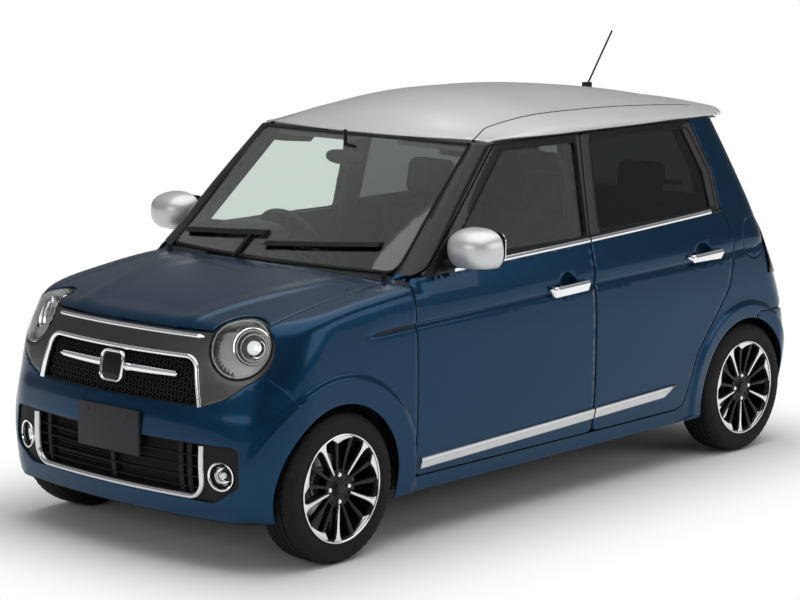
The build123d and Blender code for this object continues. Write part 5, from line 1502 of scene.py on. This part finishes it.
def turn_clock(flat, clock):
    """(across, outwards) points of a spoke to (y, z) at a clock angle from the top."""
    a = radians(clock)
    flat = np.asarray(flat, float)
    return np.stack([flat[:, 0] * cos(a) + flat[:, 1] * sin(a), -flat[:, 0] * sin(a) + flat[:, 1] * cos(a)], 1)


def polar(r, clock):
    return r * sin(radians(clock)), r * cos(radians(clock))


DISH = lambda q: 0.0665 + 0.0085 * np.clip((np.linalg.norm(q, axis=1) - 0.05) / 0.145, 0, 1) ** 1.4
# (name, (x, r) profile, steps, finish) of the wheel's turned pieces
RIM_TURNED = [
    ("barrel", [(0.0790, 0.1960), (0.0800, 0.1985), (0.0795, 0.2015), (0.0775, 0.2025), (0.0750, 0.2010),
                (0.0740, 0.1975), (0.0660, 0.1905), (0.0300, 0.1890), (-0.0550, 0.1890), (-0.0700, 0.1900),
                (-0.0760, 0.1985), (-0.0800, 0.2015), (-0.0815, 0.1985), (-0.0790, 0.1900), (-0.0700, 0.1835),
                (0.0200, 0.1835), (0.0560, 0.1845), (0.0700, 0.1875), (0.0765, 0.1925), (0.0790, 0.1960)],
     120, "rim_black"),
    ("lip", [(0.0792, 0.1945), (0.0812, 0.1962), (0.0815, 0.1990), (0.0803, 0.2012), (0.0785, 0.2018),
             (0.0785, 0.1945)], 120, "machined"),
    ("hub", [(0.066, 0.0), (0.0670, 0.0250), (0.0665, 0.0300), (0.0640, 0.0320), (0.0610, 0.0330), (0.0605, 0.0630),
             (0.0640, 0.0655), (0.0630, 0.0690), (0.0500, 0.0720), (0.0250, 0.0720)], 64, "rim_black"),
    ("cap", [(0.0755, 0.0), (0.0752, 0.0120), (0.0738, 0.0205), (0.0700, 0.0245), (0.0650, 0.0250)], 48,
     "rim_black")]
REAR_BRAKE = [
    ("drum", [(-0.020, 0.0), (-0.014, 0.060), (-0.012, 0.088), (-0.016, 0.096), (-0.026, 0.099), (-0.030, 0.096),
              (-0.034, 0.099), (-0.052, 0.099), (-0.056, 0.102), (-0.060, 0.102)], 64, "cast")]
FRONT_BRAKE = [
    ("disc", [(-0.0405, 0.066), (-0.0405, 0.1175), (-0.0455, 0.1178), (-0.0455, 0.110), (-0.0495, 0.110),
              (-0.0495, 0.1178), (-0.0545, 0.1175), (-0.0545, 0.060)], 96, "disc"),
    ("bell", [(-0.0180, 0.0), (-0.0180, 0.0560), (-0.0220, 0.0610), (-0.0400, 0.0640), (-0.0410, 0.0670)], 64,
     "cast")]


def spoke_outlines():
    """(name, (across, outwards) outline, turn from the spoke, face, back, edge, finish) of one spoke's pieces."""
    half = [(0.0035, 0.060), (0.0048, 0.095), (0.0058, 0.140), (0.0080, 0.166), (0.0120, 0.181), (0.0200, 0.1925)]
    blade = [(-a, b) for a, b in half] + [(-0.013, 0.1945), (0.0, 0.1950), (0.013, 0.1945)] + half[::-1]
    wide = [(a + 0.0035, b) for a, b in half]
    web = [(-a, b) for a, b in wide] + [(0.0, 0.1940)] + wide[::-1]
    arms = [[(s * a, b) for a, b in ((0.006, 0.040), (0.016, 0.040), (0.030, 0.110), (0.050, 0.186), (0.028, 0.190),
                                     (0.016, 0.110))] for s in (-1, 1)]
    wedge = [polar(r, c) for c, r in ((16, 0.1900), (19, 0.1835), (24, 0.1700), (34, 0.1795), (43, 0.1870),
                                      (49, 0.1915), (42, 0.1955), (34, 0.1965), (25, 0.1960), (19, 0.1940))]
    return [("thin", blade, 0.0, 0.0035, -0.003, 0.0012, "machined"), ("web", web, 0.0, -0.0028, -0.036, 0.003,
                                                                       "rim_black"),
            *(("twin", arm, 36.0, -0.0035, -0.030, 0.003, "rim_black") for arm in arms),
            ("vee", wedge, 0.0, 0.0030, -0.010, 0.0008, "machined")]


def wheel_parts(rear):
    """Pieces of one left wheel about its hub, X outwards, listed by finish."""
    parts = {}
    keep = lambda piece, finish: parts.setdefault(finish, []).append(piece)
    for name, profile, n, finish in RIM_TURNED + (REAR_BRAKE if rear else FRONT_BRAKE):
        keep(turned_x(name, profile, n, 35 if n == 120 else 30), finish)
    for k in range(5):
        for name, outline, turn, face, back, edge, finish in spoke_outlines():
            loop = turn_clock(outline, SPOKE_CLOCK + 72.0 * k + turn)
            keep(sawn(name, loop, lambda q: DISH(q) + face, lambda q: DISH(q) + back, edge), finish)
    for a in np.arange(4) * pi / 2:
        nut = nut_piece()
        nut.data.transform(Matrix.Translation((0.0605, 0.05 * sin(a), 0.05 * cos(a))))
        keep(nut, "chrome")
    valve = turned_x("valve", [(0.0700, 0.0), (0.0700, 0.0028), (0.0640, 0.0032), (0.0500, 0.0032)], 16)
    valve.data.transform(Matrix.Translation((0.0, 0.166 * sin(0.95), 0.166 * cos(0.95))))
    keep(valve, "rubber")
    return parts


def nut_piece():
    """A closed-end wheel nut, its axis along X."""
    pick()
    bpy.ops.mesh.primitive_cylinder_add(vertices=6, radius=0.0098, depth=0.012, location=(0, 0, 0))
    nut = bpy.context.object
    nut.name = "nut"
    bm = opened(nut.data)
    top = [f for f in bm.faces if f.normal.z > 0.9]
    bmesh.ops.inset_region(bm, faces=top, thickness=0.0028, depth=0.0035)
    bmesh.ops.bevel(bm, geom=[e for e in bm.edges if e.calc_length() > 0.004], offset=0.0006, segments=1,
                    affect="EDGES")
    written(bm, nut.data)
    nut.data.transform(Matrix.Rotation(pi / 2, 4, "Y"))
    return nut


def tyre_mesh(name):
    """Tread blocks between three grooves, shoulders and a moulded sidewall, by rings round the axle."""
    steps = 216
    half = [(0.0, 0.2800), (0.0085, 0.2799), (0.0090, 0.2735), (0.0150, 0.2735), (0.0155, 0.2797), (0.0345, 0.2793),
            (0.0350, 0.2730), (0.0405, 0.2730), (0.0410, 0.2788), (0.0560, 0.2776), (0.0640, 0.2755), (0.0705, 0.2705),
            (0.0750, 0.2640), (0.0775, 0.2580), (0.0792, 0.2570), (0.0802, 0.2500), (0.0810, 0.2490), (0.0818, 0.2400),
            (0.0824, 0.2330), (0.0822, 0.2260), (0.0816, 0.2200), (0.0806, 0.2192), (0.0796, 0.2120), (0.0800, 0.2105),
            (0.0790, 0.2060), (0.0762, 0.2035), (0.0738, 0.2025), (0.0728, 0.1960)]
    xs, rs = np.array(half + [(-x, r) for x, r in half[::-1][:-1]]).T
    wide = np.abs(xs)
    shoulder, rib = (wide > 0.0405) & (wide < 0.0755), (wide > 0.0154) & (wide < 0.0346)
    rings = []
    for i, a in enumerate(np.linspace(0, 2 * pi, steps, endpoint=False)):
        r = rs - 0.0035 * shoulder * (i % 4 == 0) - 0.0030 * rib * ((i + 2) % 8 == 0)
        rings.append(np.stack([xs, r * sin(a), r * cos(a)], 1))
    return through_rings(name, np.array(rings), 32, True)


def placed_copy(proto, name, place):
    """A copy of a wheel's piece at its hub, turned inside out where the place mirrors it."""
    new = add_object(name, proto.data.copy())
    new.data.transform(place)
    if place.determinant() < 0:
        new.data.flip_normals()
    return new


def wheels():
    """Four wheels from two sets of wheel pieces and one tyre."""
    tyre = tyre_mesh("tyre_proto")
    sets = {end: {finish: joined(f"{finish}_{end}", objs) for finish, objs in wheel_parts(end == "rear").items()}
            for end in ("front", "rear")}
    for end, y in (("front", FRONT_AXLE), ("rear", REAR_AXLE)):
        for side, s in (("left", 1), ("right", -1)):
            body = f"wheel_{end}_{side}"
            place = Matrix.Translation((s * HALF_TRACK, y, HUB_Z)) @ Matrix.Diagonal((s, 1, 1, 1))
            tread = dress(placed_copy(tyre, f"tyre_{end}_{side}_tread", place), "tyre", body)
            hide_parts(f"tyre_{end}_{side}")
            for finish, proto in sets[end].items():
                piece = dress(placed_copy(proto, f"{body}_{finish}", place), finish, body)
                if finish == "rim_black":
                    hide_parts(f"rim_{end}_{side}")
    for proto in [tyre, *sets["front"].values(), *sets["rear"].values()]:
        bpy.data.objects.remove(proto)


def calipers():
    """A floating caliper behind each front disc, ahead of the hub."""
    loop = turn_clock(rounded([(-0.055, 0.083), (0.055, 0.083), (0.060, 0.118), (0.040, 0.133), (-0.040, 0.133),
                               (-0.060, 0.118)], 0.012, 0.008), -100.0)
    yz = loop + np.array([FRONT_AXLE, HUB_Z])
    pair(sawn("caliper_left", yz, lambda q: np.full(len(q), HALF_TRACK - 0.0185), lambda q: np.full(len(q), 0.590),
              0.004), "cast", "knuckle")


# ---- finishes of the parts that stay as they are ---------------------------------------------------------
CAD_FINISH = {
    "floor_pan": "dark_steel", "front_subframe": "dark_steel", "rear_axle": "dark_steel", "engine_block": "cast",
    "knuckle_left": "cast", "knuckle_right": "cast", "exhaust": "steel", "fuel_tank": "black", "wipers": "black",
    "antenna": "black", "dashboard": "trim", "steering_wheel": "trim", "windshield": "glass",
    "glass_front_left": "glass", "glass_front_right": "glass", "glass_rear_left": "dark_glass",
    "glass_rear_right": "dark_glass", "glass_tailgate": "dark_glass",
    "tail_lamps": "red_lens"}


def dress_cad():
    """A finish for each construction piece that shows."""
    for node, finish in CAD_FINISH.items():
        obj = frame["nodes"][node]
        for slot in obj.material_slots:
            slot.material = FINISH[finish]


# ---- mirrors, handles ------------------------------------------------------------------------------------
def egg(name, centre, radii, power=2.6):
    """A rounded box: each radius is (low side, high side) of its axis."""
    pick()
    bpy.ops.mesh.primitive_uv_sphere_add(segments=40, ring_count=28, radius=1.0, location=(0, 0, 0))
    obj = bpy.context.object
    obj.name = obj.data.name = name
    co = np.array([v.co for v in obj.data.vertices])
    size = (np.abs(co[:, 0]) ** power + np.abs(co[:, 2]) ** power) ** (1 / power)
    size = (size ** power + np.abs(co[:, 1]) ** power) ** (1 / power)
    co = co / size[:, None]
    for k in range(3):
        lo, hi = radii[k]
        co[:, k] = np.where(co[:, k] < 0, co[:, k] * lo, co[:, k] * hi) + centre[k]
    for v, p in zip(obj.data.vertices, co):
        v.co = p
    return obj


def sliced(obj, point, normal, fill=True):
    """Keep what lies behind a plane."""
    pick(obj)
    bpy.ops.object.mode_set(mode="EDIT")
    bpy.ops.mesh.select_all(action="SELECT")
    bpy.ops.mesh.bisect(plane_co=point, plane_no=normal, use_fill=fill, clear_outer=True)
    bpy.ops.object.mode_set(mode="OBJECT")
    pick()
    return obj


MIRROR_AT = (0.812, -0.552, 1.096)


def door_mirrors():
    """Silver cap over a black lower shell, the glass set in behind, a black foot on the door."""
    x, y, z = MIRROR_AT
    size = [(0.108, 0.112), (0.140, 0.052), (0.088, 0.076)]
    cap = sliced(egg("mirror_cap_left", MIRROR_AT, size), (0, y + 0.042, 0), (0, 1, 0.05), False)
    sheet_metal(sliced(cap, (0, 0, z - 0.070), (0, 0, -1), False), 0.004, 0.0015)
    base = egg("mirror_base_left", MIRROR_AT, [(a - 0.004, b - 0.004) for a, b in size])
    sliced(base, (0, y + 0.038, 0), (0, 1, 0.05), True)
    outline = rounded([(x - 0.080, z - 0.062), (x + 0.078, z - 0.062), (x + 0.080, z + 0.056), (x - 0.082, z + 0.056)],
                      0.035, 0.008)
    glass = slab("mirror_glass_left", *(np.stack([outline[:, 0], np.full(len(outline), at), outline[:, 1]], 1)
                                        for at in (y + 0.0405, y + 0.0370)))
    foot = egg("mirror_foot_left", (0.722, y - 0.030, 1.030), [(0.060, 0.070), (0.070, 0.050), (0.014, 0.022)])
    for piece, finish in ((cap, "silver"), (base, "black"), (glass, "mirror_face"), (foot, "black")):
        pair(smooth_shade(piece, 40), finish, "door_front")
    for side in ("left", "right"):
        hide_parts(f"mirror_{side}")


def door_handles():
    """Bright pull bars on two feet over the bowls."""
    grip = [(-0.0115, 0.020), (-0.0125, 0.027), (-0.0085, 0.0325), (0.0, 0.0345), (0.0085, 0.0325), (0.0125, 0.027),
            (0.0115, 0.020), (0.0, 0.018)]
    foot = bar_profile(0.0115, 0.022, -0.004, 0.003)
    for door, (y, z, _) in zip(("front", "rear"), BOWLS):
        for name, y0, y1, n, profile, taper in (("handle", -0.122, 0.118, 40, grip, 0.016),
                                                ("handle_fore", -0.102, -0.078, 8, foot, 0.006),
                                                ("handle_aft", 0.072, 0.116, 8, foot, 0.006)):
            bar = straight_bar(f"{name}_{door}_left", (y + y0, z + 0.028 * y0), (y + y1, z + 0.028 * y1), n, profile,
                               from_plain_side, taper=taper, field=plain_depth)
            pair(bar, "chrome", f"door_{door}")


def plain_depth(p):
    """The body's depth without its bowls, where the handles sit."""
    q = body_depth(p)
    y, z = p[:, 1] - FRONT_AXLE, p[:, 2]
    for cy, cz, cr in BOWLS:
        d = np.hypot(y - cy, z - cz) / cr
        q = q + 0.021 * np.clip(1 - d ** 2.2, 0, 1) ** 0.75
    return q


def from_plain_side(loop):
    return from_side(loop, plain_depth)


# ---- seats -----------------------------------------------------------------------------------------------
def set_points(mesh, points):
    """Move a mesh's points."""
    for v, p in zip(mesh.vertices, points):
        v.co = p
    mesh.update()


def blown_up(obj):
    """The piece's points after a cloth simulation under pressure, without gravity."""
    cloth = obj.modifiers.new("pad", "CLOTH")
    settings = cloth.settings
    settings.use_pressure, settings.uniform_pressure_force = True, 4.0
    settings.effector_weights.gravity = 0.0
    settings.quality, settings.tension_stiffness, settings.bending_stiffness = 4, 25.0, 2.0
    cloth.collision_settings.use_collision = False
    cloth.point_cache.frame_start, cloth.point_cache.frame_end = 1, 20
    scene = bpy.context.scene
    for k in range(1, 21):
        scene.frame_set(k)
    result = obj.evaluated_get(bpy.context.evaluated_depsgraph_get()).to_mesh()
    moved = np.array([v.co for v in result.vertices])
    obj.modifiers.clear()
    scene.frame_set(1)
    return moved


def padded_pieces(node, name, cap, voxel):
    """A node's cushions, remeshed, blown up by cloth simulation, then sewn."""
    mesh = frame["nodes"][node].data.copy()
    bm = opened(mesh)
    bmesh.ops.remove_doubles(bm, verts=bm.verts, dist=0.00002)
    written(bm, mesh)
    obj = add_object(name, mesh)
    remesh = obj.modifiers.new("skin", "REMESH")
    remesh.mode, remesh.voxel_size = "VOXEL", voxel
    applied(obj)
    soft = obj.modifiers.new("soft", "SMOOTH")
    soft.factor, soft.iterations = 0.6, 8
    applied(obj)
    me = obj.data
    me.update()
    normals = np.array([v.normal for v in me.vertices])
    inner = np.array([v.co for v in me.vertices]) - normals * 0.006
    set_points(me, inner)
    step = blown_up(obj) - inner
    far = np.linalg.norm(step, axis=1)
    set_points(me, inner + step * (np.minimum(far, cap) / np.maximum(far, 1e-9))[:, None])
    sub = obj.modifiers.new("fine", "SUBSURF")
    sub.levels = sub.render_levels = 1
    applied(obj)
    me = obj.data
    co = np.array([v.co for v in me.vertices])
    normals = np.array([v.normal for v in me.vertices])
    set_points(me, co - normals * seat_seams(node, co)[:, None])
    for p in me.polygons:
        p.use_smooth = True
    dress(obj, "cloth")
    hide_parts(node)


def seat_seams(node, co):
    """Depth of the sewn channels at each point."""
    across = np.abs(co[:, 0])
    seam = lambda d, w=0.010: 0.006 * np.clip(1 - np.abs(d) / w, 0, 1)
    if node == "front_seats":
        across = np.abs(across - 0.355)
        return np.maximum(seam(across - 0.155), seam(across - 0.06, 0.008) * 0.6)
    return np.max([seam(across - at) for at in (0.0, 0.24, 0.44)], 0)


def cabin():
    """Seats, inner mirror, sun visors and the hood over the dials."""
    padded_pieces("front_seats", "front_seat_pads", 0.012, 0.014)
    padded_pieces("rear_seat", "rear_seat_pads", 0.012, 0.016)
    mirror = egg("inner_mirror", (-0.051, 0.85 + FRONT_AXLE, 1.352), [(0.105, 0.105), (0.016, 0.010), (0.030, 0.030)])
    dress(smooth_shade(mirror, 40), "black")
    dress(turned("inner_mirror_stem", [(0.0, 0.0), (0.010, 0.0), (0.008, 0.01), (0.007, 0.10), (0.0, 0.10)], 20,
                 at=Matrix.Translation((-0.051, 0.848 + FRONT_AXLE, 1.365))), "black")
    for side, x in (("left", 0.33), ("right", -0.33)):
        dress(block(f"sun_visor_{side}", (x - 0.20, 0.955 + FRONT_AXLE, 1.405),
                    (x + 0.20, 0.975 + FRONT_AXLE + 0.11, 1.421), 0.007), "lining")
    hood = egg("dial_hood_right", (-0.355, 0.620 + FRONT_AXLE, 1.040), [(0.17, 0.17), (0.09, 0.10), (0.05, 0.055)])
    dress(smooth_shade(hood, 50), "trim")


def gate_details():
    """Rear plate and its recess, handle, wiper and reflectors."""
    recess = rounded([(-0.20, 0.745), (0.20, 0.745), (0.19, 0.935), (-0.19, 0.935)], 0.02, 0.010)
    dress(laid_bar("gate_recess_edge", recess, crown_profile(0.006, 0.004), from_rear, True), "black", "tailgate")
    y = float(from_rear([(0.0, 0.79)])[0][1])
    dress(block("plate_rear", (-0.165, y - 0.004, 0.757), (0.165, y + 0.008, 0.922), 0.004), "plate", "tailgate")
    grip = [(-0.014, -0.002), (-0.014, 0.008), (-0.006, 0.016), (0.008, 0.014), (0.014, 0.006), (0.014, -0.002)]
    reflector = bar_profile(0.016, 0.004, -0.002)
    for name, start, end, n, profile, taper, finish, body in (
            ("gate_grip", (-0.24, 0.962), (0.24, 0.962), 40, grip, 0.03, "chrome", "tailgate"),
            ("reflector_left", (0.46, 0.395), (0.60, 0.395), 14, reflector, 0.012, "red_lens", "body"),
            ("reflector_right", (-0.46, 0.395), (-0.60, 0.395), 14, reflector, 0.012, "red_lens", "body"),
            ("rear_wiper", (-0.02, 1.085), (0.27, 1.114), 30, bar_profile(0.007, 0.022, 0.004), 0.02, "black",
             "tailgate")):
        dress(straight_bar(name, start, end, n, profile, from_rear, taper=taper), finish, body)


def window_seals():
    """Rubber round each side window."""
    for door, window in (("front", FRONT_WINDOW), ("rear", REAR_WINDOW)):
        seal = laid_bar(f"window_seal_{door}_left", window, bar_profile(0.0035, 0.002, -0.010, 0.001), from_side, True)
        pair(seal, "rubber", f"door_{door}")
    band = laid_bar("screen_seal", SCREEN, bar_profile(0.004, 0.0025, -0.006, 0.001), from_front, True)
    dress(band, "rubber")


def drip_lines():
    """Dark joint between roof and side, and the roof ditch strips."""
    ys = np.linspace(0.985, 2.44, 90)
    line = laid_bar("drip_seal_left", np.stack([ys, np.full(90, 1.4515)], 1),
                    bar_profile(0.0028, 0.0010, -0.010, 0.0008), from_side)
    pair(line, "rubber")
    ys = np.linspace(0.925, 2.40, 90)
    xs = np.interp(ys, [0.925, 1.05], [0.548, 0.500])
    ditch = laid_bar("roof_ditch_left", np.stack([xs, ys], 1), bar_profile(0.0030, 0.0006, -0.010, 0.0004),
                     lambda q: np.stack([q[:, 0], q[:, 1] + FRONT_AXLE, roof_height(q[:, 0], q[:, 1])], 1),
                     field=roof_depth)
    pair(ditch, "rubber")


for step in (finishes, studio, door_skins, make_fender, make_hood, make_nose, make_front_bumper, make_sill,
             make_quarter, make_rear_bumper, make_tailgate, make_door_frames, make_pillars, make_roof,
             understructure, belt_and_sill_strips, nose_brightwork, honeycomb, lower_intake, headlamps, fog_lamps,
             front_plate, badge, wheels, calipers, door_mirrors, door_handles, cabin, gate_details, window_seals,
             drip_lines, dress_cad):
    step()
